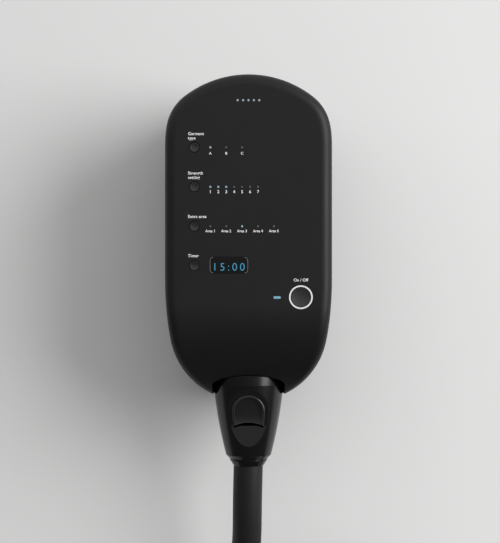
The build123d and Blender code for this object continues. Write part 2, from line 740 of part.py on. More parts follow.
# Across, along from the board's centre, width, length, height of each tall part on the main board.
chips = (
    (-18, 12, 14, 14, 1.6),
    (12, 18, 9, 9, 1.4),
    (-22, -26, 16, 8, 8),
    (6, -28, 10, 10, 9),
    (26, -12, 8, 20, 6),
)
with BuildPart() as board_parts:
    for across, along, width, length, height in chips:
        with BuildSketch(Plane.XY.offset(main_z)):
            with Locations((across, main_y + along)):
                Rectangle(width, length)
        extrude(amount=height)
nodes["board_parts"] = board_parts

# ------------------------------------------------------------------ battery
battery_y = top_y - BATTERY_FROM_TOP
battery_z = floor_z + CELL_CAP + CELL_RADIUS
cell_points = [
    (battery_y + (row - 0.5) * CELL_PITCH, battery_z + layer * CELL_PITCH)
    for row in range(2)
    for layer in range(2)
]
with BuildPart() as battery_cells:
    with BuildSketch(side_plane(-CELL_LENGTH / 2)):
        with Locations(*cell_points):
            Circle(CELL_RADIUS)
    extrude(amount=CELL_LENGTH)
nodes["battery_cells"] = battery_cells

cap_side = 2 * (CELL_PITCH + CELL_CAP_WALL)
cap_centre = (battery_y, battery_z + CELL_PITCH / 2)
with BuildPart() as battery_holder:
    for side in (-1, 1):
        with BuildSketch(side_plane(side * (CELL_LENGTH / 2 + CELL_CAP_WALL))):
            with Locations(cap_centre):
                RectangleRounded(cap_side, cap_side, CELL_CAP_CORNER)
        extrude(amount=-side * (CELL_CAP + CELL_CAP_WALL))
    with BuildSketch(Plane.XY.offset(floor_z)):
        with Locations((0, battery_y)):
            Rectangle(CELL_LENGTH + 2 * CELL_CAP_WALL, CELL_PITCH)
    extrude(amount=CELL_CAP)
    with BuildSketch(side_plane(-CELL_LENGTH / 2)):
        with Locations(*cell_points):
            Circle(CELL_RADIUS + FIT)
    extrude(amount=CELL_LENGTH, mode=Mode.SUBTRACT)
nodes["battery_holder"] = battery_holder

# ------------------------------------------------------------------ compressor
grommet_points = [
    (side * (plate_width / 2 - GROMMET_INSET), pump_y + end * (PUMP_PLATE[0] / 2 - GROMMET_INSET))
    for side in (-1, 1)
    for end in (-1, 1)
]
with BuildPart() as pump_grommets:
    with BuildSketch(Plane.XY.offset(floor_z)):
        with Locations(*grommet_points):
            Circle(GROMMET_RADIUS)
    extrude(amount=GROMMET_HEIGHT)
nodes["pump_grommets"] = pump_grommets

with BuildPart() as pump_plate:
    with BuildSketch(Plane.XY.offset(plate_z)):
        with Locations((0, pump_y)):
            RectangleRounded(plate_width, PUMP_PLATE[0], PLATE_CORNER)
    extrude(amount=PUMP_PLATE[1])
nodes["pump_plate"] = pump_plate

motor_start = -plate_width / 2
motor_length = plate_width - HEAD_BLOCK[0] - MOTOR_HEAD_GAP
head_start = plate_width / 2 - HEAD_BLOCK[0]
with BuildPart() as pump_motor:
    with BuildSketch(side_plane(motor_start)):
        with Locations((pump_y, motor_z)):
            Circle(MOTOR_RADIUS)
    extrude(amount=motor_length)
    with BuildSketch(side_plane(motor_start)):
        with Locations((pump_y, motor_z)):
            Circle(SHAFT_RADIUS + SHAFT_CLEARANCE)
    extrude(amount=motor_length, mode=Mode.SUBTRACT)
nodes["pump_motor"] = pump_motor

crank_start = head_start + CRANK_DEPTH
with BuildPart() as pump_head:
    with BuildSketch(Plane.XY.offset(head_z)):
        with Locations((head_start + HEAD_BLOCK[0] / 2, pump_y)):
            RectangleRounded(HEAD_BLOCK[0], HEAD_BLOCK[1], PLATE_CORNER)
    extrude(amount=HEAD_BLOCK[2])
    with BuildSketch(side_plane(head_start)):
        with Locations((pump_y, motor_z)):
            Circle(SHAFT_RADIUS + SHAFT_CLEARANCE)
    extrude(amount=HEAD_BLOCK[0] - BORE_FLOOR, mode=Mode.SUBTRACT)
    with BuildSketch(side_plane(crank_start)):
        with Locations((pump_y, motor_z)):
            Circle(CRANK_RADIUS + CRANK_OFFSET + CRANK_CLEARANCE)
    extrude(amount=CRANK_ROOM, mode=Mode.SUBTRACT)
    with BuildSketch(hose_plane(pump_y - HEAD_BLOCK[1] / 2)):
        with Locations((-SUPPLY_PLACE[0], supply_z)):
            Circle(PORT_RADIUS)
    extrude(amount=-BARB_REACH)
nodes["pump_head"] = pump_head

with BuildPart() as pump_rotor:
    with BuildSketch(side_plane(motor_start + SHAFT_INSET)):
        with Locations((pump_y, motor_z)):
            Circle(SHAFT_RADIUS)
    extrude(amount=plate_width - 2 * SHAFT_INSET - BORE_FLOOR)
    with BuildSketch(side_plane(crank_start + (CRANK_ROOM - CRANK_WIDTH) / 2)):
        with Locations((pump_y, motor_z + CRANK_OFFSET)):
            Circle(CRANK_RADIUS)
    extrude(amount=CRANK_WIDTH)
nodes["pump_rotor"] = pump_rotor

# ------------------------------------------------------------------ socket, tubes and valves
with BuildPart() as socket_block:
    with BuildSketch(hose_plane(crown_y - PLUG_ARCH)):
        with Locations((0, plug_z)):
            Circle(SOCKET_RADIUS - FIT)
    extrude(amount=socket_back_y - crown_y + PLUG_ARCH)
    with BuildSketch(hose_plane(socket_back_y)):
        with Locations((0, plug_z)):
            Circle(SOCKET_RADIUS + SOCKET_FLANGE)
    extrude(amount=-SOCKET_FLANGE_THICKNESS)
    add(plug_pocket, mode=Mode.SUBTRACT)
    slot_top = LATCH_HEIGHT + TOOTH_HEIGHT + RUNNING
    slot_bottom = LATCH_HEIGHT - LATCH_THICKNESS - latch_swing
    with BuildSketch(hose_plane(crown_y - PLUG_ARCH)):
        with Locations((0, plug_z + (slot_top + slot_bottom) / 2)):
            Rectangle(LATCH_WIDTH + 2 * RUNNING, slot_top - slot_bottom)
    extrude(amount=PLUG_ARCH + TOOTH_REACH + TOOTH_ROOM, mode=Mode.SUBTRACT)
    with BuildSketch(hose_plane(crown_y - PORT_REACH)):
        with Locations(*[(-x, z) for x, z in port_points]):
            Circle(PORT_RADIUS)
    extrude(amount=socket_back_y + BARB_REACH - crown_y + PORT_REACH)
    with BuildSketch(hose_plane(crown_y - PORT_REACH)):
        with Locations(*[(-x, z) for x, z in port_points]):
            Circle(PORT_BORE)
    extrude(amount=socket_back_y + BARB_REACH - crown_y + PORT_REACH, mode=Mode.SUBTRACT)
nodes["socket_block"] = socket_block

manifold_z = plug_z + PORT_CIRCLE + MANIFOLD_ABOVE_PORTS - MANIFOLD_SIZE[2] / 2
with BuildPart() as valve_manifold:
    with BuildSketch(hose_plane(manifold_y)):
        with Locations((0, manifold_z)):
            Rectangle(MANIFOLD_SIZE[0], MANIFOLD_SIZE[2])
    extrude(amount=MANIFOLD_SIZE[1])
    with BuildSketch(hose_plane(manifold_y)):
        with Locations(*[(-x, z) for x, z in port_points]):
            Circle(PORT_RADIUS)
    extrude(amount=-BARB_REACH)
    with BuildSketch(hose_plane(manifold_y - BARB_REACH)):
        with Locations(*[(-x, z) for x, z in port_points]):
            Circle(PORT_BORE)
    extrude(amount=BARB_REACH + MANIFOLD_SIZE[1] / 2, mode=Mode.SUBTRACT)
    with BuildSketch(hose_plane(manifold_y + MANIFOLD_SIZE[1])):
        with Locations((-SUPPLY_PLACE[0], SUPPLY_PLACE[1])):
            Circle(PORT_RADIUS)
    extrude(amount=BARB_REACH)
nodes["valve_manifold"] = valve_manifold

valve_z = manifold_z - MANIFOLD_SIZE[2] / 2 + VALVE_RADIUS + VALVE_FROM_EDGE
with BuildPart() as solenoid_valves:
    with BuildSketch(hose_plane(manifold_y + MANIFOLD_SIZE[1])):
        with Locations((0, valve_z)):
            with GridLocations(VALVE_PITCH, 0, VALVE_COUNT, 1):
                Circle(VALVE_RADIUS)
    extrude(amount=VALVE_LENGTH)
nodes["solenoid_valves"] = solenoid_valves

with BuildPart() as air_tubes:
    with BuildSketch(hose_plane(socket_back_y + TUBE_END_GAP)):
        with Locations(*[(-x, z) for x, z in port_points]):
            Circle(PORT_RADIUS + FIT + TUBE_WALL)
            Circle(PORT_RADIUS + FIT, mode=Mode.SUBTRACT)
    extrude(amount=manifold_y - socket_back_y - 2 * TUBE_END_GAP)
nodes["air_tubes"] = air_tubes

supply_start = (SUPPLY_PLACE[0], manifold_y + MANIFOLD_SIZE[1] + TUBE_END_GAP, SUPPLY_PLACE[1])
supply_end = (SUPPLY_PLACE[0], pump_y - HEAD_BLOCK[1] / 2 - TUBE_END_GAP, supply_z)
with BuildPart() as supply_tube:
    with BuildLine() as supply_path:
        FilletPolyline(
            supply_start,
            (supply_start[0], supply_start[1] + SUPPLY_STRAIGHT, supply_start[2]),
            (supply_end[0], supply_end[1] - SUPPLY_STRAIGHT, supply_end[2]),
            supply_end,
            radius=SUPPLY_BEND,
        )
    with BuildSketch(Plane(supply_start, x_dir=(1, 0, 0), z_dir=(0, 1, 0))):
        Circle(PORT_RADIUS + FIT + TUBE_WALL)
        Circle(PORT_RADIUS + FIT, mode=Mode.SUBTRACT)
    sweep(path=supply_path.line)
nodes["supply_tube"] = supply_tube

# ------------------------------------------------------------------ side controls
with BuildPart() as power_button:
    with BuildSketch(side_plane(side_floor + SIDE_LIP)):
        with Locations((power_y, SIDE_HEIGHT)):
            Circle(POWER_RADIUS)
    extrude(amount=-POWER_LENGTH)
    chamfer(power_button.faces().sort_by(Axis.X)[-1].edges(), POWER_EDGE)
    with BuildSketch(side_plane(side_floor - POWER_FLANGE_DEPTH)):
        with Locations((power_y, SIDE_HEIGHT)):
            Circle(POWER_FLANGE)
    extrude(amount=-POWER_FLANGE_THICKNESS)
nodes["power_button"] = power_button

flange_back = side_floor - POWER_FLANGE_DEPTH - POWER_FLANGE_THICKNESS
with BuildPart() as power_switch:
    with BuildSketch(side_plane(flange_back - POWER_TRAVEL - TOUCH)):
        with Locations((power_y, SIDE_HEIGHT)):
            Rectangle(POWER_SWITCH[0], POWER_SWITCH[0])
    extrude(amount=-POWER_SWITCH[1])
nodes["power_switch"] = power_switch

with BuildPart() as charge_inlet:
    with BuildSketch(side_plane(side_floor)):
        with Locations((inlet_y, SIDE_HEIGHT)):
            Circle(INLET_FLANGE)
    extrude(amount=INLET_RISE)
    with BuildSketch(side_plane(side_floor)):
        with Locations((inlet_y, SIDE_HEIGHT)):
            Circle(INLET_BODY)
    extrude(amount=-INLET_DEPTH - INLET_BACK)
    with BuildSketch(side_plane(side_floor + INLET_RISE)):
        with Locations((inlet_y, SIDE_HEIGHT)):
            Circle(INLET_BORE)
            Circle(INLET_PIN, mode=Mode.SUBTRACT)
    extrude(amount=-INLET_DEPTH, mode=Mode.SUBTRACT)
    with BuildSketch(side_plane(side_floor + INLET_RISE)):
        with Locations((inlet_y, SIDE_HEIGHT)):
            Circle(INLET_PIN)
    extrude(amount=-INLET_PIN_SINK, mode=Mode.SUBTRACT)
nodes["charge_inlet"] = charge_inlet

# ------------------------------------------------------------------ plug
shoulder_y = end_y + PLUG_SHOULDER
tip_y = collar_y + PLUG_TIP
neck_y = collar_y + COLLAR_LENGTH
insert_y = crown_y - INSERT_LENGTH
chamber_y = insert_y - CHAMBER_LENGTH
recess_y = end_y + RECESS_TOP - RECESS_RADIUS
recess_wall_y = recess_y + RECESS_RADIUS + RECESS_FLOOR_WALL
taper = (PLUG_RADIUS - PLUG_TIP_RADIUS) / (shoulder_y - tip_y)
pivot_y = end_y + PIVOT_PLACE[0]
pivot_z = plug_z + PIVOT_PLACE[1]
hose_start_y = collar_y + HOSE_ROUTE[0][1]
pad_foot_y = end_y + PAD_TOP - PAD_HEIGHT
pad_foot_half = PAD_RADIUS - PAD_NARROWING
slot_y = pad_foot_y - PAD_GAP[0]
with BuildPart() as thumb_recess:
    with BuildSketch(Plane.XY.offset(plug_z)):
        with BuildLine():
            CenterArc((0, recess_y), RECESS_RADIUS, 0, 180)
            EllipticalCenterArc(
                (0, recess_y), RECESS_RADIUS, RECESS_TAIL, start_angle=180, arc_size=180
            )
        make_face()
    extrude(amount=PLUG_DEPTH)
    with BuildSketch(side_plane(-PLUG_RADIUS)):
        with BuildLine():
            Polyline(
                (crown_y, plug_z + RECESS_FLOOR),
                (pad_foot_y, plug_z + RECESS_FLOOR),
                (recess_y - RECESS_TAIL, plug_z + SCOOP_FLOOR),
                (recess_y - RECESS_TAIL, plug_z + PLUG_DEPTH),
                (crown_y, plug_z + PLUG_DEPTH),
                close=True,
            )
        make_face()
    extrude(amount=2 * PLUG_RADIUS, mode=Mode.INTERSECT)
    with BuildSketch(Plane.XY.offset(plug_z + PIVOT_PLACE[1] - PIVOT_BOSS)):
        with BuildLine():
            arched = slot_y + PAD_GAP[0] + PAD_SCALLOP - PAD_GAP[1]
            ThreePointArc((-pad_foot_half, slot_y), (0, arched), (pad_foot_half, slot_y))
            Polyline(
                (pad_foot_half, slot_y),
                (pad_foot_half, pad_foot_y + PAD_SCALLOP),
                (-pad_foot_half, pad_foot_y + PAD_SCALLOP),
                (-pad_foot_half, slot_y),
            )
        make_face()
        with Locations((0, pad_foot_y)):
            Rectangle(
                LATCH_WIDTH + 2 * RUNNING,
                PAD_HEIGHT - LATCH_WEB_END + 2 * RUNNING,
                align=(Align.CENTER, Align.MIN),
            )
    extrude(amount=RECESS_FLOOR - PIVOT_PLACE[1] + PIVOT_BOSS + CUT)

with BuildPart() as recess_wall:
    with BuildSketch(Plane.XY.offset(plug_z + RECESS_FLOOR - RECESS_FLOOR_WALL)):
        with Locations((0, chamber_y)):
            Rectangle(
                2 * PLUG_RADIUS,
                recess_wall_y - chamber_y,
                align=(Align.CENTER, Align.MIN),
            )
    extrude(amount=PLUG_RADIUS)

with BuildPart() as plug_body:
    with BuildSketch(Plane.XY.offset(plug_z)):
        with BuildLine():
            Line((0, crown_y + CUT), (PLUG_RADIUS, crown_y + CUT))
            Line((PLUG_RADIUS, crown_y + CUT), (PLUG_RADIUS, shoulder_y))
            SagittaArc((PLUG_RADIUS, shoulder_y), (PLUG_TIP_RADIUS, tip_y), PLUG_BULGE)
            Line((PLUG_TIP_RADIUS, tip_y), (COLLAR_RADIUS, neck_y))
            Polyline((COLLAR_RADIUS, neck_y), (0, neck_y), (0, crown_y + CUT))
        make_face()
    revolve(axis=plug_axis)
    add(arch_form(0), mode=Mode.INTERSECT)

with BuildPart() as plug_shell:
    add(plug_body.part)
    with BuildSketch(Plane.XY.offset(plug_z)):
        with BuildLine():
            bore = INSERT_RADIUS + FIT
            wall_top = PLUG_RADIUS - PLUG_WALL - taper * (shoulder_y - insert_y)
            wall_foot = PLUG_RADIUS - PLUG_WALL - taper * (shoulder_y - chamber_y)
            Polyline(
                (0, crown_y + 2 * CUT),
                (bore, crown_y + 2 * CUT),
                (bore, insert_y),
                (wall_top, insert_y),
                (wall_foot, chamber_y),
                (HOSE_RADIUS - HOSE_STOP, chamber_y),
                (HOSE_RADIUS - HOSE_STOP, hose_start_y),
                (HOSE_RADIUS + FIT, hose_start_y),
                (HOSE_RADIUS + FIT, neck_y - COLLAR_TONGUE),
                (0, neck_y - COLLAR_TONGUE),
                close=True,
            )
        make_face()
    revolve(axis=plug_axis, mode=Mode.SUBTRACT)
    add(plug_body.part & recess_wall.part)
    add(thumb_recess.part, mode=Mode.SUBTRACT)
    with BuildSketch(side_plane(-PIN_REACH - FIT)):
        with Locations((pivot_y, pivot_z)):
            Circle(PIVOT_RADIUS + FIT)
    extrude(amount=2 * (PIN_REACH + FIT), mode=Mode.SUBTRACT)
nodes["plug_shell"] = plug_shell

arm_top = plug_z + LATCH_HEIGHT
arm_foot = arm_top - LATCH_THICKNESS
with BuildPart() as plug_insert:
    with BuildSketch(hose_plane(insert_y)):
        with Locations((0, plug_z)):
            Circle(INSERT_RADIUS)
    extrude(amount=INSERT_LENGTH)
    add(arch_form(-INSERT_SINK), mode=Mode.INTERSECT)
    with BuildSketch(hose_plane(insert_y)):
        with Locations((0, plug_z + RECESS_FLOOR - RECESS_FLOOR_WALL - FIT)):
            Rectangle(2 * PLUG_RADIUS, PLUG_RADIUS, align=(Align.CENTER, Align.MIN))
    extrude(amount=recess_wall_y + FIT - insert_y, mode=Mode.SUBTRACT)
    with BuildSketch(hose_plane(insert_y)):
        with Locations((0, arm_foot - latch_swing)):
            Rectangle(LATCH_WIDTH + 2 * RUNNING, WIDTH, align=(Align.CENTER, Align.MIN))
    extrude(amount=INSERT_LENGTH, mode=Mode.SUBTRACT)
    with BuildSketch(hose_plane(crown_y)):
        with Locations(*[(-x, z) for x, z in port_points]):
            Circle(PORT_RADIUS + RUNNING)
    extrude(amount=-PORT_REACH - PORT_END_GAP, mode=Mode.SUBTRACT)
    with BuildSketch(hose_plane(crown_y)):
        with Locations(*[(-x, z) for x, z in port_points]):
            Circle(PORT_BORE)
    extrude(amount=-INSERT_LENGTH, mode=Mode.SUBTRACT)
    with BuildSketch(hose_plane(crown_y - SEAL_DEPTH)):
        with Locations(*[(-x, z) for x, z in port_points]):
            Circle(PORT_RADIUS + SEAL_CLEARANCE + SEAL_WIDTH + FIT)
    extrude(amount=-SEAL_HEIGHT - FIT, mode=Mode.SUBTRACT)
nodes["plug_insert"] = plug_insert

with BuildPart() as plug_seals:
    with BuildSketch(hose_plane(crown_y - SEAL_DEPTH)):
        with Locations(*[(-x, z) for x, z in port_points]):
            Circle(PORT_RADIUS + SEAL_CLEARANCE + SEAL_WIDTH)
            Circle(PORT_RADIUS + SEAL_CLEARANCE, mode=Mode.SUBTRACT)
    extrude(amount=-SEAL_HEIGHT)
nodes["plug_seals"] = plug_seals

with BuildPart() as hose_collar:
    with BuildSketch(Plane.XY.offset(plug_z)):
        with BuildLine():
            Polyline(
                (HOSE_RADIUS + FIT, neck_y),
                (COLLAR_RADIUS - COLLAR_STEP, neck_y),
                (COLLAR_RADIUS - COLLAR_STEP, neck_y - COLLAR_TONGUE),
                (COLLAR_NECK, collar_y),
                (HOSE_RADIUS + FIT, collar_y),
                close=True,
            )
        make_face()
    revolve(axis=plug_axis)
nodes["hose_collar"] = hose_collar

# ------------------------------------------------------------------ release latch
pad_y = end_y + PAD_TOP - PAD_RADIUS
pad_top_y = end_y + PAD_TOP


def pad_outline(inset):
    """The pad's outline from the front, pulled in by inset at its round top and straight sides."""
    with BuildSketch(Plane.XY.offset(plug_z + PAD_BASE)) as sketch:
        with BuildLine():
            side = PAD_RADIUS - inset
            foot = pad_foot_half - inset
            CenterArc((0, pad_y), side, 0, 180)
            Line((-side, pad_y), (-foot, pad_foot_y))
            ThreePointArc((-foot, pad_foot_y), (0, pad_foot_y + PAD_SCALLOP), (foot, pad_foot_y))
            Line((foot, pad_foot_y), (side, pad_y))
        make_face()
    return sketch.sketch


tilt = tan(radians(PAD_TILT))
pad_front_z = plug_z + PAD_FRONT
with BuildPart() as pad_dish:
    add(pad_outline(PAD_RIM))
    extrude(amount=PLUG_DEPTH)
    with BuildSketch(Plane.YZ):
        with BuildLine():
            dish_top = (pad_top_y, pad_front_z - PAD_DISH[0])
            dish_middle = pad_front_z - PAD_HEIGHT / 2 * tilt - PAD_DISH[1]
            dish_foot = (pad_foot_y, pad_front_z - PAD_HEIGHT * tilt - PAD_DISH[2])
            ThreePointArc(dish_top, ((pad_top_y + pad_foot_y) / 2, dish_middle), dish_foot)
            Polyline(
                dish_foot,
                (pad_foot_y, plug_z + PLUG_DEPTH),
                (pad_top_y, plug_z + PLUG_DEPTH),
                dish_top,
            )
        make_face()
    extrude(amount=PAD_RADIUS, both=True, mode=Mode.INTERSECT)

with BuildPart() as release_latch:
    add(pad_outline(0))
    extrude(amount=PAD_FRONT - PAD_BASE)
    with BuildSketch(Plane.YZ):
        with BuildLine():
            Polyline(
                (pad_top_y, pad_front_z),
                (pad_top_y, pad_front_z + CUT),
                (pad_foot_y, pad_front_z + CUT),
                (pad_foot_y, pad_front_z - PAD_HEIGHT * tilt),
                close=True,
            )
        make_face()
    extrude(amount=PAD_RADIUS + CUT, both=True, mode=Mode.SUBTRACT)
    fillet(release_latch.faces().sort_by(Axis.Z)[-1].edges(), PAD_EDGE)
    add(pad_dish.part, mode=Mode.SUBTRACT)
    with BuildSketch(side_plane(-LATCH_WIDTH / 2)):
        with BuildLine():
            tooth_y = crown_y + TOOTH_REACH - TOOTH_LENGTH
            Polyline(
                (pad_top_y - LATCH_WEB_END, plug_z + PAD_BASE),
                (pad_top_y - LATCH_WEB_END, arm_top),
                (tooth_y, arm_top),
                (tooth_y, arm_top + TOOTH_HEIGHT),
                (tooth_y + TOOTH_CREST, arm_top + TOOTH_HEIGHT),
                (crown_y + TOOTH_REACH, arm_top),
                (crown_y + TOOTH_REACH, arm_foot),
                (pivot_y, arm_foot),
                (pivot_y - PIVOT_BOSS, pivot_z),
                (pad_foot_y + PAD_SCALLOP, plug_z + PAD_BASE),
                close=True,
            )
        make_face()
        with Locations((pivot_y, pivot_z)):
            Circle(PIVOT_BOSS)
    extrude(amount=LATCH_WIDTH)
    with BuildSketch(side_plane(-LATCH_WIDTH)):
        with Locations((pivot_y, pivot_z)):
            Circle(PIVOT_RADIUS + PIN_CLEARANCE)
    extrude(amount=2 * LATCH_WIDTH, mode=Mode.SUBTRACT)
nodes["release_latch"] = release_latch

with BuildPart() as latch_pin:
    with BuildSketch(side_plane(-PIN_REACH)):
        with Locations((pivot_y, pivot_z)):
            Circle(PIVOT_RADIUS)
    extrude(amount=2 * PIN_REACH)
nodes["latch_pin"] = latch_pin

with BuildPart() as latch_spring:
    with BuildSketch(side_plane(-LATCH_WIDTH / 3)):
        with BuildLine() as spring_line:
            ThreePointArc(
                (insert_y, arm_foot - SPRING_DROPS[0]),
                (insert_y - SPRING_LENGTH / 2, arm_foot - SPRING_DROPS[1]),
                (insert_y - SPRING_LENGTH, arm_foot - SPRING_DROPS[2]),
            )
            offset(amount=SPRING_THICKNESS, side=Side.LEFT, closed=True)
        make_face()
    extrude(amount=2 * LATCH_WIDTH / 3)
nodes["latch_spring"] = latch_spring

# ------------------------------------------------------------------ hose
def tube_path(points):
    """Straight runs joined by tangent arcs as large as the runs allow, and the arcs' radii."""
    corners = [Vector(*point) for point in points]
    radii = []
    for before, corner, after in zip(corners, corners[1:], corners[2:]):
        arriving, leaving = corner - before, after - corner
        shorter = min(arriving.length, leaving.length)
        turn = radians(arriving.get_angle(leaving))
        radii.append(CORNER_SHARE * shorter / tan(turn / 2))
    with BuildLine() as path:
        FilletPolyline(*corners, radius=radii)
    return path.wires()[0], radii


hose_points = [(x, collar_y + y, z) for x, y, z in HOSE_ROUTE]
run_path, run_radii = tube_path(hose_points)
with BuildPart() as hose_run:
    with BuildSketch(Plane(run_path @ 0, z_dir=run_path % 0)):
        Circle(HOSE_RADIUS)
    sweep(path=run_path)
nodes["hose_run"] = hose_run
expected_volume = pi * HOSE_RADIUS**2 * run_path.length
print(f"hose run: length {run_path.length:.0f}, arc radii {[round(r) for r in run_radii]}")
print(f"hose run: volume {hose_run.part.volume:.0f}, section times length {expected_volume:.0f}")

# The coil turns left out of the route's last run, and its second turn lies under the first.
last_run = Vector(*hose_points[-1]) - Vector(*hose_points[-2])
heading = Vector(last_run.X, last_run.Y, 0).normalized()
coil_x = hose_points[-1][0] - COIL_RADIUS * heading.Y
coil_y = hose_points[-1][1] + COIL_RADIUS * heading.X
coil_axis = Axis((coil_x, coil_y, 0), (0, 0, 1))
coil_start = degrees(atan2(-heading.X, heading.Y))
low_z = HOSE_RADIUS + COIL_FLOOR_GAP
high_z = low_z + COIL_STACK
over_plug_z = 2 * END_PLUG_RADIUS + HOSE_RADIUS + RUNNING


def coil_plane(turned):
    """The plane across the coil this far round from its start, its own x outward and y up."""
    outward = Vector(1, 0, 0).rotate(Axis.Z, coil_start + turned)
    return Plane((coil_x, coil_y, 0), x_dir=outward, z_dir=outward.rotate(Axis.Z, -90))


with BuildPart() as hose_coil:
    with BuildSketch(coil_plane(0)):
        with Locations((COIL_RADIUS, (low_z + high_z) / 2)):
            SlotOverall(COIL_STACK + 2 * HOSE_RADIUS, 2 * HOSE_RADIUS, rotation=90)
    revolve(axis=coil_axis, revolution_arc=COIL_DOUBLE)
    with BuildSketch(coil_plane(COIL_DOUBLE)):
        with Locations((COIL_RADIUS, over_plug_z)):
            Circle(HOSE_RADIUS)
    revolve(axis=coil_axis, revolution_arc=COIL_HIGH - COIL_DOUBLE)
    with BuildSketch(coil_plane(COIL_HIGH)):
        with Locations((COIL_RADIUS, low_z)):
            Circle(HOSE_RADIUS)
    revolve(axis=coil_axis, revolution_arc=360 - COIL_HIGH)
nodes["hose_coil"] = hose_coil

with BuildPart() as end_plug:
    plug_plane = coil_plane(COIL_DOUBLE)
    with BuildSketch(plug_plane):
        with Locations((COIL_RADIUS, END_PLUG_RADIUS + TOUCH)):
            Circle(END_PLUG_RADIUS)
    extrude(amount=-END_PLUG_LENGTH)
    chamfer(end_plug.edges().filter_by(GeomType.CIRCLE), END_PLUG_EDGE)
    with BuildSketch(plug_plane.offset(-END_PLUG_LENGTH)):
        with Locations((COIL_RADIUS, END_PLUG_RADIUS + TOUCH)):
            Circle(END_NOSE_RADIUS)
            with PolarLocations(END_PORT_CIRCLE, PORT_PLACES - 1):
                Circle(PORT_BORE, mode=Mode.SUBTRACT)
    extrude(amount=-END_NOSE_LENGTH)
nodes["end_plug"] = end_plug

if __name__ == "__main__":
    os.makedirs("parts", exist_ok=True)
    for name, node in nodes.items():
        node.part.label = name
        export_step(node.part, f"parts/{name}.step")
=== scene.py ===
import math

import bmesh
import bpy
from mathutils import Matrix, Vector


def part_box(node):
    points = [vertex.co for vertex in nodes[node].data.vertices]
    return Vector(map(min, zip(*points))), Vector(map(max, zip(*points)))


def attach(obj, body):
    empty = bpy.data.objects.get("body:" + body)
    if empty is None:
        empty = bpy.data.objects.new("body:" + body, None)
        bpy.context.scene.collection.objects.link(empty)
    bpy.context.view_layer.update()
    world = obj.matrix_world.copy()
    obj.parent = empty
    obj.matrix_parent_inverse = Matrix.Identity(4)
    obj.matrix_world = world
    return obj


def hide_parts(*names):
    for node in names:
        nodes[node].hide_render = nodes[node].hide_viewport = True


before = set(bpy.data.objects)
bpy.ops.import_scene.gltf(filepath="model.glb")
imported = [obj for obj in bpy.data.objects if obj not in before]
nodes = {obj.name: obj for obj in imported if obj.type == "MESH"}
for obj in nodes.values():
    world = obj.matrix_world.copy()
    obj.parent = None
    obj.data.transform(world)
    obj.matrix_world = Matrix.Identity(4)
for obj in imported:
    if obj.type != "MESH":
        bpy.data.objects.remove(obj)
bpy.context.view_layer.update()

# The camera looks straight down on the pump's front face, a metre above it, with the head of the
# pump towards the top of the picture. The pump stands a little left of the picture's middle.
face_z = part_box("front_cover")[1].z
camera_distance = 1.0
camera_aside = (0.00096, 0.0008)  # where the picture's middle lies, from the origin
picture_pixel = 0.0006422  # the size of one pixel at the front face
picture_height = 543
sensor_mm = 36.0
lens = bpy.data.cameras.new("camera")
lens.sensor_width = sensor_mm
lens.lens = sensor_mm * camera_distance / (picture_height * picture_pixel)
camera = bpy.data.objects.new("camera", lens)
camera.location = (*camera_aside, face_z + camera_distance)
bpy.context.scene.collection.objects.link(camera)
bpy.context.scene.camera = camera

# The hose is a fat smooth tube with five air lumens. It comes straight out of the plug's collar,
# sinks and bends to its left, lies in a coil whose second turn goes under the first, and ends in
# the garment's connector, which lies under the first turn too.
hose_exit_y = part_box("hose_collar")[0].y
hose_radius = 0.00975
hose_down = (
    (0.0, 0.006, 0.0605),
    (-0.0008, -0.020, 0.0605),
    (-0.0010, -0.056, 0.0525),
    (-0.0052, -0.079, 0.0430),
    (-0.0155, -0.0975, 0.0355),
    (-0.0286, -0.1176, 0.0310),
)
coil_radius = 0.0975
coil_step = 20.0
coil_turned = 520.0
# The hose's height, after it has turned this many degrees round the coil.
coil_heights = (
    (0, 0.0310),
    (20, 0.02966),
    (140, 0.02966),
    (158, 0.03445),
    (200, 0.03445),
    (300, 0.00976),
    (500, 0.00976),
    (520, 0.01225),
)


def coil_height(turned):
    """The height between two places of the list, with a soft start and end."""
    for (before, low), (after, high) in zip(coil_heights, coil_heights[1:]):
        if turned <= after:
            share = (turned - before) / (after - before)
            return low + (high - low) * share * share * (3 - 2 * share)
    return coil_heights[-1][1]


hose_points = [Vector((x, hose_exit_y + y, z)) for x, y, z in hose_down]
heading = (hose_points[-1] - hose_points[-2]).to_2d().normalized()
coil_middle = hose_points[-1].to_2d() + coil_radius * Vector((-heading.y, heading.x))
coil_start = math.atan2(-heading.x, heading.y)
# A spline of order 3 touches the middle of each run, so a turn's points stand a little outside it.
coil_places = [coil_step * (place + 0.5) for place in range(int(coil_turned / coil_step))]
coil_reach = coil_radius / math.cos(math.radians(coil_step / 2))
coil_stops = [(place, coil_reach) for place in coil_places] + [(coil_turned, coil_radius)]
for turned, reach in coil_stops:
    angle = coil_start + math.radians(turned)
    out = Vector((math.cos(angle), math.sin(angle)))
    across = coil_middle + reach * out
    hose_points.append(Vector((across.x, across.y, coil_height(turned))))

hose_curve = bpy.data.curves.new("hose", "CURVE")
hose_curve.dimensions = "3D"
hose_curve.bevel_depth = 1.0  # each point carries the hose's own radius
hose_curve.bevel_resolution = 10
hose_curve.resolution_u = 10
hose_line = hose_curve.splines.new("NURBS")
hose_line.points.add(len(hose_points) - 1)
for place, point in zip(hose_line.points, hose_points):
    place.co = (*point, 1)
    place.radius = hose_radius
hose_line.order_u = 3
hose_line.use_endpoint_u = True
hose = bpy.data.objects.new("hose", hose_curve)
bpy.context.scene.collection.objects.link(hose)
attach(hose, "plug")
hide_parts("hose_run", "hose_coil")
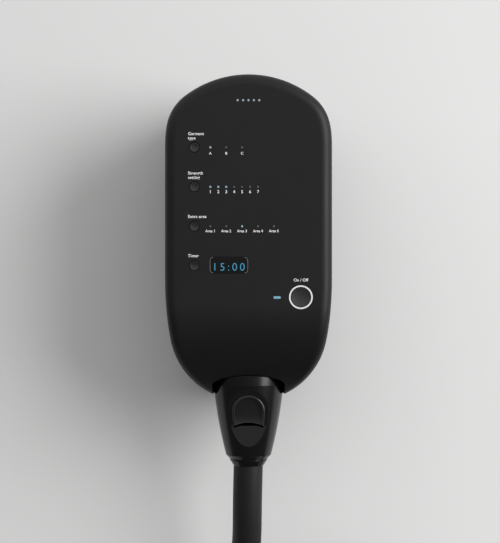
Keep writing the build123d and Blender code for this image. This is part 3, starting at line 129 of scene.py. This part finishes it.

# What the finishes share: a new material, shader node groups for grain and for worn edges, which
# on the latch pad also carry a painted highlight, and the finish of everything that is moulded.
# The CAD's own pieces wear them as they are.


def finish(name, colour, roughness):
    """A new material with its Principled shader."""
    material = bpy.data.materials.new(name)
    material.use_nodes = True
    shader = material.node_tree.nodes["Principled BSDF"]
    shader.inputs["Base Color"].default_value = (*colour, 1)
    shader.inputs["Roughness"].default_value = roughness
    return material, shader


def effect(name, takes, gives):
    """An empty shader node group with these inputs and outputs, and its two end nodes."""
    group = bpy.data.node_groups.new(name, "ShaderNodeTree")
    for socket, kind, value in takes:
        made = group.interface.new_socket(socket, in_out="INPUT", socket_type=kind)
        made.default_value = value
    for socket, kind in gives:
        group.interface.new_socket(socket, in_out="OUTPUT", socket_type=kind)
    return group, group.nodes.new("NodeGroupInput"), group.nodes.new("NodeGroupOutput")


def math_node(group, operation, first, second):
    """A Math node whose inputs are sockets or plain numbers."""
    node = group.nodes.new("ShaderNodeMath")
    node.operation = operation
    for place, value in enumerate((first, second)):
        if isinstance(value, bpy.types.NodeSocket):
            group.links.new(value, node.inputs[place])
        else:
            node.inputs[place].default_value = value
    return node.outputs[0]


# Grain of a moulded or drawn surface: a fine tooth, and a slow change of tone and gloss.
gloss_change = 0.12  # from the dullest place to the glossiest
grain, grain_in, grain_out = effect(
    "moulded_grain",
    (
        ("Colour", "NodeSocketColor", (0.5, 0.5, 0.5, 1)),
        ("Roughness", "NodeSocketFloat", 0.5),
        ("Grains per Metre", "NodeSocketFloat", 3000.0),
        ("Tone Change", "NodeSocketFloat", 0.2),
    ),
    (
        ("Colour", "NodeSocketColor"),
        ("Roughness", "NodeSocketFloat"),
        ("Height", "NodeSocketFloat"),
    ),
)
grain_place = grain.nodes.new("ShaderNodeTexCoord")
tooth = grain.nodes.new("ShaderNodeTexNoise")
tooth.inputs["Detail"].default_value = 2.0
grain.links.new(grain_place.outputs["Object"], tooth.inputs["Vector"])
grain.links.new(grain_in.outputs["Grains per Metre"], tooth.inputs["Scale"])
drift = grain.nodes.new("ShaderNodeTexNoise")
drift.inputs["Scale"].default_value = 55.0
drift.inputs["Detail"].default_value = 3.0
grain.links.new(grain_place.outputs["Object"], drift.inputs["Vector"])
drift_sway = math_node(grain, "SUBTRACT", drift.outputs["Fac"], 0.5)
tone_sway = math_node(grain, "MULTIPLY", drift_sway, grain_in.outputs["Tone Change"])
tone = math_node(grain, "ADD", tone_sway, 1.0)
toned = grain.nodes.new("ShaderNodeVectorMath")
toned.operation = "SCALE"
grain.links.new(grain_in.outputs["Colour"], toned.inputs[0])
grain.links.new(tone, toned.inputs["Scale"])
gloss_sway = math_node(grain, "MULTIPLY", drift_sway, gloss_change)
gloss = math_node(grain, "ADD", grain_in.outputs["Roughness"], gloss_sway)
grain.links.new(toned.outputs["Vector"], grain_out.inputs["Colour"])
grain.links.new(gloss, grain_out.inputs["Roughness"])
grain.links.new(tooth.outputs["Fac"], grain_out.inputs["Height"])

# Wear along edges, and on the latch pad a painted highlight of its rim: a mask that is strongest
# where a rounded normal parts from the real one.
wear_sheen, wear_sheen_in, wear_sheen_out = effect(
    "edge_wear_and_sheen", (("Width", "NodeSocketFloat", 0.0008),), (("Mask", "NodeSocketFloat"),)
)
rounded = wear_sheen.nodes.new("ShaderNodeBevel")
rounded.samples = 4
wear_sheen.links.new(wear_sheen_in.outputs["Width"], rounded.inputs["Radius"])
sharp = wear_sheen.nodes.new("ShaderNodeNewGeometry")
parting = wear_sheen.nodes.new("ShaderNodeVectorMath")
parting.operation = "DOT_PRODUCT"
wear_sheen.links.new(rounded.outputs["Normal"], parting.inputs[0])
wear_sheen.links.new(sharp.outputs["Normal"], parting.inputs[1])
rub_and_sheen_noise = wear_sheen.nodes.new("ShaderNodeTexNoise")
rub_and_sheen_noise.inputs["Scale"].default_value = 260.0
rub_and_sheen_place = wear_sheen.nodes.new("ShaderNodeTexCoord")
wear_sheen.links.new(rub_and_sheen_place.outputs["Object"], rub_and_sheen_noise.inputs["Vector"])
edge = wear_sheen.nodes.new("ShaderNodeMapRange")
edge.inputs["From Min"].default_value = 0.995
edge.inputs["From Max"].default_value = 0.86
wear_sheen.links.new(parting.outputs["Value"], edge.inputs["Value"])
wear_sheen_edge = math_node(wear_sheen, "MULTIPLY", edge.outputs["Result"], rub_and_sheen_noise.outputs["Fac"])
wear_sheen.links.new(wear_sheen_edge, wear_sheen_out.inputs["Mask"])


def moulded(
    name, colour, roughness, grains=3000.0, tooth_depth=0.00001, change=0.2, wear_and_sheen=None, shine=0.5
):
    """Moulded plastic or rubber: grain on its colour, gloss and surface, and lighter edges."""
    material, shader = finish(name, colour, roughness)
    shader.inputs["Specular IOR Level"].default_value = shine
    tree = material.node_tree
    surface = tree.nodes.new("ShaderNodeGroup")
    surface.node_tree = grain
    surface.inputs["Colour"].default_value = (*colour, 1)
    surface.inputs["Roughness"].default_value = roughness
    surface.inputs["Grains per Metre"].default_value = grains
    surface.inputs["Tone Change"].default_value = change
    tree.links.new(surface.outputs["Roughness"], shader.inputs["Roughness"])
    bump = tree.nodes.new("ShaderNodeBump")
    bump.inputs["Distance"].default_value = tooth_depth
    tree.links.new(surface.outputs["Height"], bump.inputs["Height"])
    tree.links.new(bump.outputs["Normal"], shader.inputs["Normal"])
    if wear_and_sheen is None:
        tree.links.new(surface.outputs["Colour"], shader.inputs["Base Color"])
        return material
    edges = tree.nodes.new("ShaderNodeGroup")
    edges.node_tree = wear_sheen
    blend = tree.nodes.new("ShaderNodeMix")
    blend.data_type = "RGBA"
    tree.links.new(edges.outputs["Mask"], blend.inputs["Factor"])
    tree.links.new(surface.outputs["Colour"], blend.inputs["A"])
    blend.inputs["B"].default_value = (*wear_and_sheen, 1)
    tree.links.new(blend.outputs["Result"], shader.inputs["Base Color"])
    return material


def dress(material, *names):
    """Give this material to these nodes."""
    for name in names:
        for slot in nodes[name].material_slots:
            slot.material = material


# The housing is a deep front cover and a rear shell, injection moulded in matt black ABS with a
# fine spark-eroded grain. Eight screws in deep wells draw the shell to the cover, and four rubber
# feet are glued in its back.
case_black = moulded(
    "case_black", (0.0085, 0.0085, 0.0087), 0.46, wear_and_sheen=(0.017, 0.017, 0.0175), shine=0.26
)
dress(case_black, "front_cover", "rear_housing")
foot_rubber = moulded(
    "foot_rubber", (0.016, 0.016, 0.016), 0.75, grains=1800.0, tooth_depth=0.00003
)
dress(foot_rubber, "rubber_feet")

# The screws, the motor, its plate and shaft, the valves and the latch's pin and spring are plated
# or bare steel, turned, drawn or stamped, with fine marks that run across the pump.
roughness_below = 0.12  # how far the marks' roughness falls below the metal's own
roughness_above = 0.16  # and how far it rises above it


def metal(name, colour, roughness, marks):
    """Bare or plated metal whose gloss follows fine marks, this many to a metre each way."""
    material, shader = finish(name, colour, roughness)
    shader.inputs["Metallic"].default_value = 1.0
    tree = material.node_tree
    place = tree.nodes.new("ShaderNodeTexCoord")
    stretch = tree.nodes.new("ShaderNodeMapping")
    stretch.inputs["Scale"].default_value = marks
    scratch = tree.nodes.new("ShaderNodeTexNoise")
    scratch.inputs["Scale"].default_value = 1.0
    scratch.inputs["Detail"].default_value = 4.0
    gloss = tree.nodes.new("ShaderNodeMapRange")
    gloss.inputs["To Min"].default_value = roughness - roughness_below
    gloss.inputs["To Max"].default_value = roughness + roughness_above
    bump = tree.nodes.new("ShaderNodeBump")
    bump.inputs["Distance"].default_value = 0.000004
    tree.links.new(place.outputs["Object"], stretch.inputs["Vector"])
    tree.links.new(stretch.outputs["Vector"], scratch.inputs["Vector"])
    tree.links.new(scratch.outputs["Fac"], gloss.inputs["Value"])
    tree.links.new(gloss.outputs["Result"], shader.inputs["Roughness"])
    tree.links.new(scratch.outputs["Fac"], bump.inputs["Height"])
    tree.links.new(bump.outputs["Normal"], shader.inputs["Normal"])
    return material


plated_steel = metal("plated_steel", (0.55, 0.55, 0.56), 0.34, (300.0, 5000.0, 5000.0))
dress(plated_steel, "housing_screws", "pump_plate", "pump_motor", "pump_rotor")
dress(plated_steel, "solenoid_valves", "latch_pin", "latch_spring")

# The plug is a vaulted shell, moulded in a smoother black than the housing, round a block that
# carries its five air ways. The block and its seals are pressed in from the front. The seals'
# rubber also makes the grommets that the compressor hangs on.
plug_black = moulded(
    "plug_black", (0.0030, 0.0030, 0.0031), 0.23, grains=2400.0, tooth_depth=0.000006,
    wear_and_sheen=(0.02, 0.02, 0.021), shine=0.42,
)
dress(plug_black, "plug_shell", "end_plug")
port_black = moulded("port_black", (0.006, 0.006, 0.006), 0.6)
dress(port_black, "plug_insert")
seal_rubber = moulded("seal_rubber", (0.02, 0.02, 0.02), 0.6, grains=2500.0)
dress(seal_rubber, "plug_seals", "pump_grommets")

# The release latch is one lever with a rounded, dished thumb pad. It turns on a steel pin in the
# plug, and a leaf spring holds its tooth up behind the socket's edge.
# The pad's lighter edge colour is wear, and at this strength also a painted highlight along its
# rim.
pad_black = moulded(
    "pad_black", (0.0095, 0.0095, 0.0098), 0.2, grains=2400.0, tooth_depth=0.000005,
    wear_and_sheen=(0.075, 0.075, 0.078),
)
dress(pad_black, "release_latch")

# The collar is a glossy ring pressed over the hose's end, and the hose is a smooth black extrusion
# of soft PVC, nearly matt, with a faint grain.
collar_gloss = moulded(
    "collar_gloss", (0.004, 0.004, 0.0042), 0.16, grains=1500.0, tooth_depth=0.000002, shine=0.3
)
dress(collar_gloss, "hose_collar")
hose_black = moulded(
    "hose_black", (0.011, 0.011, 0.0113), 0.5, grains=1200.0, tooth_depth=0.000008, change=0.25,
    shine=0.28,
)
hose_curve.materials.append(hose_black)
dress(hose_black, "hose_run", "hose_coil")

# Four soft keys stand in narrow gaps beside the lamps, and the start button and the power button
# are satin black too, dished to take a fingertip. All push tact switches on the boards.
key_black = moulded(
    "key_black", (0.0125, 0.0125, 0.013), 0.36, grains=2600.0, tooth_depth=0.000008,
    wear_and_sheen=(0.045, 0.045, 0.047),
)
dress(key_black, "attachment_key", "pressure_key", "zone_key", "time_key")
dress(key_black, "power_button")
button_black = moulded(
    "button_black", (0.02, 0.02, 0.021), 0.42, grains=2600.0, tooth_depth=0.000008,
    wear_and_sheen=(0.06, 0.06, 0.062),
)
dress(button_black, "start_button")

# A white ring, moulded by itself and snapped in, frames the start button. Its outer rim carries
# painted shade: it is darkened to black where it meets the cover.
ring_white = moulded(
    "ring_white", (0.86, 0.86, 0.85), 0.3, grains=900.0, tooth_depth=0.000004, change=0.06
)
dress(ring_white, "start_ring")
rim_shade_from = 0.00026  # the painted shade begins this far in from the ring's edge
rim_shade_full = 0.00012  # and is full this far in
ring_low, ring_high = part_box("start_ring")
ring_middle = (ring_low + ring_high) / 2
ring_edge = (ring_high.x - ring_low.x) / 2
ring_tree = ring_white.node_tree
ring_shader = ring_tree.nodes["Principled BSDF"]
ring_place = ring_tree.nodes.new("ShaderNodeTexCoord")
ring_reach = ring_tree.nodes.new("ShaderNodeVectorMath")
ring_reach.operation = "DISTANCE"
ring_reach.inputs[1].default_value = ring_middle
# Painted shade: the ring's outer edge is darkened to black by its distance from the middle.
ring_shade_mask = ring_tree.nodes.new("ShaderNodeMapRange")
ring_shade_mask.inputs["From Min"].default_value = ring_edge - rim_shade_from
ring_shade_mask.inputs["From Max"].default_value = ring_edge - rim_shade_full
ring_shade_mix = ring_tree.nodes.new("ShaderNodeMix")
ring_shade_mix.data_type = "RGBA"
ring_shade_mix.inputs["B"].default_value = (0.006, 0.006, 0.006, 1)
ring_tree.links.new(ring_place.outputs["Object"], ring_reach.inputs[0])
ring_tree.links.new(ring_reach.outputs["Value"], ring_shade_mask.inputs["Value"])
ring_tree.links.new(ring_shade_mask.outputs["Result"], ring_shade_mix.inputs["Factor"])
ring_tree.links.new(ring_shader.inputs["Base Color"].links[0].from_socket, ring_shade_mix.inputs["A"])
ring_tree.links.new(ring_shade_mix.outputs["Result"], ring_shader.inputs["Base Color"])

# The lamps are light pipes of frosted clear plastic from the key board up to the face. A pipe over
# a lit diode glows, and the others stay grey. All five charge lamps and the status lamp are lit.
pipe_grey = (0.07, 0.07, 0.072)
pipe_cloud = (0.14, 0.14, 0.145)
glow_white = (0.30, 0.37, 0.42)
glow_blue = (0.22, 0.36, 0.46)
glow_cyan = (0.12, 0.36, 0.50)


def lamp_finish(name, glow, lit_from, lit_to, lit_below=1.0, lit_above=-1.0):
    """Frosted plastic that glows where its X and Y lie between these limits."""
    material, shader = finish(name, pipe_grey, 0.45)
    tree = material.node_tree
    place = tree.nodes.new("ShaderNodeTexCoord")
    split = tree.nodes.new("ShaderNodeSeparateXYZ")
    tree.links.new(place.outputs["Object"], split.inputs["Vector"])
    across = split.outputs["X"]
    after = math_node(tree, "GREATER_THAN", across, lit_from)
    before = math_node(tree, "LESS_THAN", across, lit_to)
    under = math_node(tree, "LESS_THAN", split.outputs["Y"], lit_below)
    over = math_node(tree, "GREATER_THAN", split.outputs["Y"], lit_above)
    lit_across = math_node(tree, "MULTIPLY", after, before)
    lit_along = math_node(tree, "MULTIPLY", under, over)
    between = math_node(tree, "MULTIPLY", lit_across, lit_along)
    frost = tree.nodes.new("ShaderNodeTexNoise")
    frost.inputs["Scale"].default_value = 2500.0
    tree.links.new(place.outputs["Object"], frost.inputs["Vector"])
    cloud = tree.nodes.new("ShaderNodeMapRange")
    cloud.inputs["To Min"].default_value = 0.8
    cloud.inputs["To Max"].default_value = 1.0
    tree.links.new(frost.outputs["Fac"], cloud.inputs["Value"])
    lit = math_node(tree, "MULTIPLY", between, cloud.outputs["Result"])
    shade = tree.nodes.new("ShaderNodeMix")
    shade.data_type = "RGBA"
    shade.inputs["A"].default_value = (0, 0, 0, 1)
    shade.inputs["B"].default_value = (*glow, 1)
    tree.links.new(lit, shade.inputs["Factor"])
    tree.links.new(shade.outputs["Result"], shader.inputs["Emission Color"])
    shader.inputs["Emission Strength"].default_value = 0.9
    body = tree.nodes.new("ShaderNodeMix")
    body.data_type = "RGBA"
    body.inputs["A"].default_value = (*pipe_grey, 1)
    body.inputs["B"].default_value = (*pipe_cloud, 1)
    tree.links.new(frost.outputs["Fac"], body.inputs["Factor"])
    tree.links.new(body.outputs["Result"], shader.inputs["Base Color"])
    return material


# Each row of lamps, its glow, and the two places between which its lamps are lit.
lit_rows = (
    ("attachment", glow_white, -0.030, -0.020),
    ("pressure", glow_blue, -0.030, -0.01175),
    ("zone", glow_blue, -0.008, 0.0),
    ("charge", glow_white, -0.010, 0.010),
)
for row, glow, lit_from, lit_to in lit_rows:
    dress(lamp_finish(row + "_glow", glow, lit_from, lit_to), row + "_lamps")
status_glow = lamp_finish(
    "status_glow", glow_cyan, 0.01620, 0.02060, lit_below=-0.01515, lit_above=-0.01665
)
dress(status_glow, "status_lamp")

# The display shows through a smoked acrylic window, glued into a ledge in the cover. A thin grey
# line round each short side of it is a painted highlight of the window's edge, and the time glows
# in blue figures, which lie on the window as a thin film.
window_smoke = moulded(
    "window_smoke", (0.003, 0.003, 0.0034), 0.14, grains=400.0, tooth_depth=0.0000005, change=0.3,
    shine=0.3,
)
dress(window_smoke, "display_window")
window_low, window_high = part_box("display_window")
ink_and_highlight_film = 0.00004  # thickness of the printed letters and of the painted highlight lines


def lay_on_face(name, mesh_or_letters, material, place):
    """Put a thin piece on the face, as the printed letters and the painted highlight lines are,
    and let it move with the housing.
    """
    piece = bpy.data.objects.new(name, mesh_or_letters)
    piece.location = place
    piece.data.materials.append(material)
    bpy.context.scene.collection.objects.link(piece)
    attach(piece, "housing")
    return piece


line_inset = 0.0003
line_width = 0.00038
line_corner = 0.0019
line_tail = 0.0005  # how far the line runs on past its corner
line_tip = 0.25  # width of the line's ends, as a share of its width
line_slope = 0.15  # the part of its width over which the painted highlight film rises
corner_steps = 8
# Painted highlight: this grey stands in for light caught on the window's short edges.
highlight_grey = moulded(
    "highlight_grey", (0.13, 0.13, 0.134), 0.4, grains=1500.0, tooth_depth=0.000001, change=0.1
)


def bracket(name, side):
    """A painted highlight: a thin grey line down one short side of the window and round its two
    corners, standing in for light caught on the window's edge.
    """
    half_width = (window_high.x - window_low.x) / 2 - line_inset
    half_height = (window_high.y - window_low.y) / 2 - line_inset
    corner_x = half_width - line_corner
    corner_y = half_height - line_corner
    spine = [(corner_x - line_tail, half_height, 0.0, 1.0)]
    for step in range(corner_steps + 1):
        turn = math.radians(90 * (1 - step / corner_steps))
        out_x, out_y = math.cos(turn), math.sin(turn)
        x = corner_x + line_corner * out_x
        y = corner_y + line_corner * out_y
        spine.append((x, y, out_x, out_y))
    spine += [(x, -y, out_x, -out_y) for x, y, out_x, out_y in reversed(spine)]
    section = ((0, 0), (line_slope, ink_and_highlight_film), (1 - line_slope, ink_and_highlight_film), (1, 0))
    mesh = bmesh.new()
    rings = []
    for place, (x, y, out_x, out_y) in enumerate(spine):
        width = line_width * (line_tip if place in (0, len(spine) - 1) else 1.0)
        ring = []
        for share, rise in section:
            reach = share * width
            ring.append(mesh.verts.new((side * (x - reach * out_x), y - reach * out_y, rise)))
        rings.append(ring)
    for before, after in zip(rings, rings[1:]):
        for k in range(len(section)):
            following = (k + 1) % len(section)
            mesh.faces.new((before[k], before[following], after[following], after[k]))
    mesh.faces.new(rings[0])
    mesh.faces.new(reversed(rings[-1]))
    bmesh.ops.recalc_face_normals(mesh, faces=mesh.faces)
    line = bpy.data.meshes.new(name)
    mesh.to_mesh(line)
    mesh.free()
    middle = (window_low + window_high) / 2
    lay_on_face(name, line, highlight_grey, (middle.x, middle.y, window_high.z))


bracket("window_highlight_left", -1)
bracket("window_highlight_right", 1)

cap_share = 0.729  # height of a capital, as a share of the type's size
ink_spread = 0.00004  # how far the printed ink runs out round a letter


def lettering(
    name, words, place, capital, material, align="CENTER", spacing=1.0, fatten=ink_spread
):
    """Thin raised letters whose middle height is at this place."""
    letters = bpy.data.curves.new(name, "FONT")
    letters.body = words
    letters.size = capital / cap_share
    letters.align_x = align
    letters.space_character = spacing
    letters.extrude = ink_and_highlight_film / 2
    letters.offset = fatten
    letters.resolution_u = 4
    x, y = place
    return lay_on_face(name, letters, material, (x, y - capital / 2, face_z + ink_and_highlight_film))


figure_place = (-0.0128, 0.00395)
figure_capital = 0.0052
figure_spacing = 1.38
figure_thinning = 0.00009
figure_blue, figure_shader = finish("figure_blue", (0.02, 0.09, 0.14), 0.4)
figure_tree = figure_blue.node_tree
figure_coordinates = figure_tree.nodes.new("ShaderNodeTexCoord")
figure_noise = figure_tree.nodes.new("ShaderNodeTexNoise")
figure_noise.inputs["Scale"].default_value = 900.0
figure_glow = figure_tree.nodes.new("ShaderNodeMix")
figure_glow.data_type = "RGBA"
figure_glow.inputs["A"].default_value = (0.028, 0.20, 0.35, 1)
figure_glow.inputs["B"].default_value = (0.05, 0.30, 0.49, 1)
figure_tree.links.new(figure_coordinates.outputs["Object"], figure_noise.inputs["Vector"])
figure_tree.links.new(figure_noise.outputs["Fac"], figure_glow.inputs["Factor"])
figure_tree.links.new(figure_glow.outputs["Result"], figure_shader.inputs["Emission Color"])
figure_shader.inputs["Emission Strength"].default_value = 1.0
lettering(
    "time_figures", "15:00", figure_place, figure_capital, figure_blue,
    spacing=figure_spacing, fatten=-figure_thinning,
)

# Every key has its name over it and its lamps have theirs below, screen printed in white ink
# that stands a few hundredths of a millimetre proud of the grain.
ink_white = moulded(
    "ink_white", (0.9, 0.9, 0.9), 0.45, grains=1500.0, tooth_depth=0.000002, change=0.08
)
title_capital = 0.00195
title_left = -0.0389
title_spacing = 1.06
titles = (
    ("garment", "Garment", 0.0894),
    ("type", "type", 0.0866),
    ("strength", "Strength", 0.0641),
    ("setting", "setting", 0.0613),
    ("extra_area", "Extra area", 0.0362),
    ("timer", "Timer", 0.0110),
)
for title, words, y in titles:
    name = "title_" + title
    place = (title_left, y)
    lettering(name, words, place, title_capital, ink_white, "LEFT", title_spacing)
mark_left = -0.0245
near_pitch = 0.0051  # from one strength lamp to the next
wide_pitch = 0.0102  # from one garment or area lamp to the next
mark_capital = 0.0017
number_capital = 0.0020
garment_marks_y, strength_marks_y, area_marks_y = 0.0768, 0.0521, 0.0269
on_off_place = (0.0336, -0.0046)
for step, words in enumerate("ABC"):
    name = "garment_mark_" + words
    place = (mark_left + wide_pitch * step, garment_marks_y)
    lettering(name, words, place, mark_capital, ink_white)
for step in range(7):
    name = f"strength_mark_{step + 1}"
    place = (mark_left + near_pitch * step, strength_marks_y)
    lettering(name, str(step + 1), place, number_capital, ink_white)
for step in range(5):
    name = f"area_mark_{step + 1}"
    place = (mark_left + wide_pitch * step, area_marks_y)
    lettering(name, f"Area {step + 1}", place, mark_capital, ink_white)
lettering("on_off_mark", "On / Off", on_off_place, title_capital, ink_white)

# Inside, the keys' board and the main board are green glass laminate with black chips, a switch
# under each key and the display's module, and a stacked connector joins the two.
board_green = moulded(
    "board_green", (0.012, 0.09, 0.035), 0.35, grains=1200.0, tooth_depth=0.000006, change=0.5
)
dress(board_green, "key_board", "main_board")
chip_black = moulded("chip_black", (0.02, 0.02, 0.02), 0.5, grains=2000.0)
dress(chip_black, "board_parts", "board_link", "key_switches", "display_module", "power_switch")
dress(chip_black, "charge_inlet")

# Four cells in blue sleeves lie in a holder. The holder, the compressor's head and the manifold
# are natural nylon, the socket is black, and clear silicone tubes are pushed over their barbs.
sleeve_blue = moulded(
    "sleeve_blue", (0.03, 0.11, 0.33), 0.3, grains=300.0, tooth_depth=0.00001, change=0.2
)
dress(sleeve_blue, "battery_cells")
nylon_natural = moulded(
    "nylon_natural", (0.55, 0.54, 0.5), 0.45, grains=1500.0, tooth_depth=0.00001, change=0.12
)
dress(nylon_natural, "battery_holder", "pump_head", "valve_manifold")
socket_black = moulded("socket_black", (0.01, 0.01, 0.01), 0.5)
dress(socket_black, "socket_block")
tube_clear = moulded(
    "tube_clear", (0.62, 0.62, 0.6), 0.3, grains=500.0, tooth_depth=0.000006, change=0.1
)
dress(tube_clear, "air_tubes", "supply_tube")

# The pump lies on a plain pale table. One large soft lamp stands off to its right and a little
# past its head. The room gives the rest of the light from past the head, and is dark towards the
# hose.
table_reach = 0.5
table_mesh = bpy.data.meshes.new("table")
table_corners = [
    (x * table_reach, y * table_reach, 0) for x, y in ((-1, -1), (1, -1), (1, 1), (-1, 1))
]
table_mesh.from_pydata(table_corners, [], [(0, 1, 2, 3)])
table = bpy.data.objects.new("table", table_mesh)
bpy.context.scene.collection.objects.link(table)
table_paint = bpy.data.materials.new("table_paint")
table_paint.use_nodes = True
table_shader = table_paint.node_tree.nodes["Principled BSDF"]
table_shader.inputs["Base Color"].default_value = (0.803, 0.80, 0.797, 1)
table_shader.inputs["Roughness"].default_value = 0.9
table_shader.inputs["Specular IOR Level"].default_value = 0.2
table_mesh.materials.append(table_paint)

lamp_way = Vector((0.94, 0.28, 0.64)).normalized()
lamp_distance = 2.4
lamp = bpy.data.lights.new("soft_lamp", "AREA")
lamp.shape = "DISK"
lamp.size = 1.95
lamp.energy = 52.5
lamp_stand = bpy.data.objects.new("soft_lamp", lamp)
lamp_stand.location = lamp_way * lamp_distance
lamp_stand.rotation_euler = lamp_way.to_track_quat("Z", "Y").to_euler()
lamp_stand.visible_camera = False
bpy.context.scene.collection.objects.link(lamp_stand)

room_bright_way = (0.1, 1.0, 0.0)
room_dark, room_bright = 0.13, 0.86
room = bpy.data.worlds.new("room")
bpy.context.scene.world = room
room.use_nodes = True
room_tree = room.node_tree
room_way = room_tree.nodes.new("ShaderNodeTexCoord")
room_dot = room_tree.nodes.new("ShaderNodeVectorMath")
room_dot.operation = "DOT_PRODUCT"
room_dot.inputs[1].default_value = room_bright_way
room_ramp = room_tree.nodes.new("ShaderNodeMapRange")
room_ramp.interpolation_type = "SMOOTHSTEP"
room_ramp.inputs["From Min"].default_value = -0.14
room_ramp.inputs["From Max"].default_value = 0.24
room_ramp.inputs["To Min"].default_value = room_dark
room_ramp.inputs["To Max"].default_value = room_bright
room_tree.links.new(room_way.outputs["Generated"], room_dot.inputs[0])
room_tree.links.new(room_dot.outputs["Value"], room_ramp.inputs["Value"])
room_light = room_tree.nodes["Background"]
room_tree.links.new(room_ramp.outputs["Result"], room_light.inputs["Color"])

bpy.context.scene.view_settings.view_transform = "Standard"
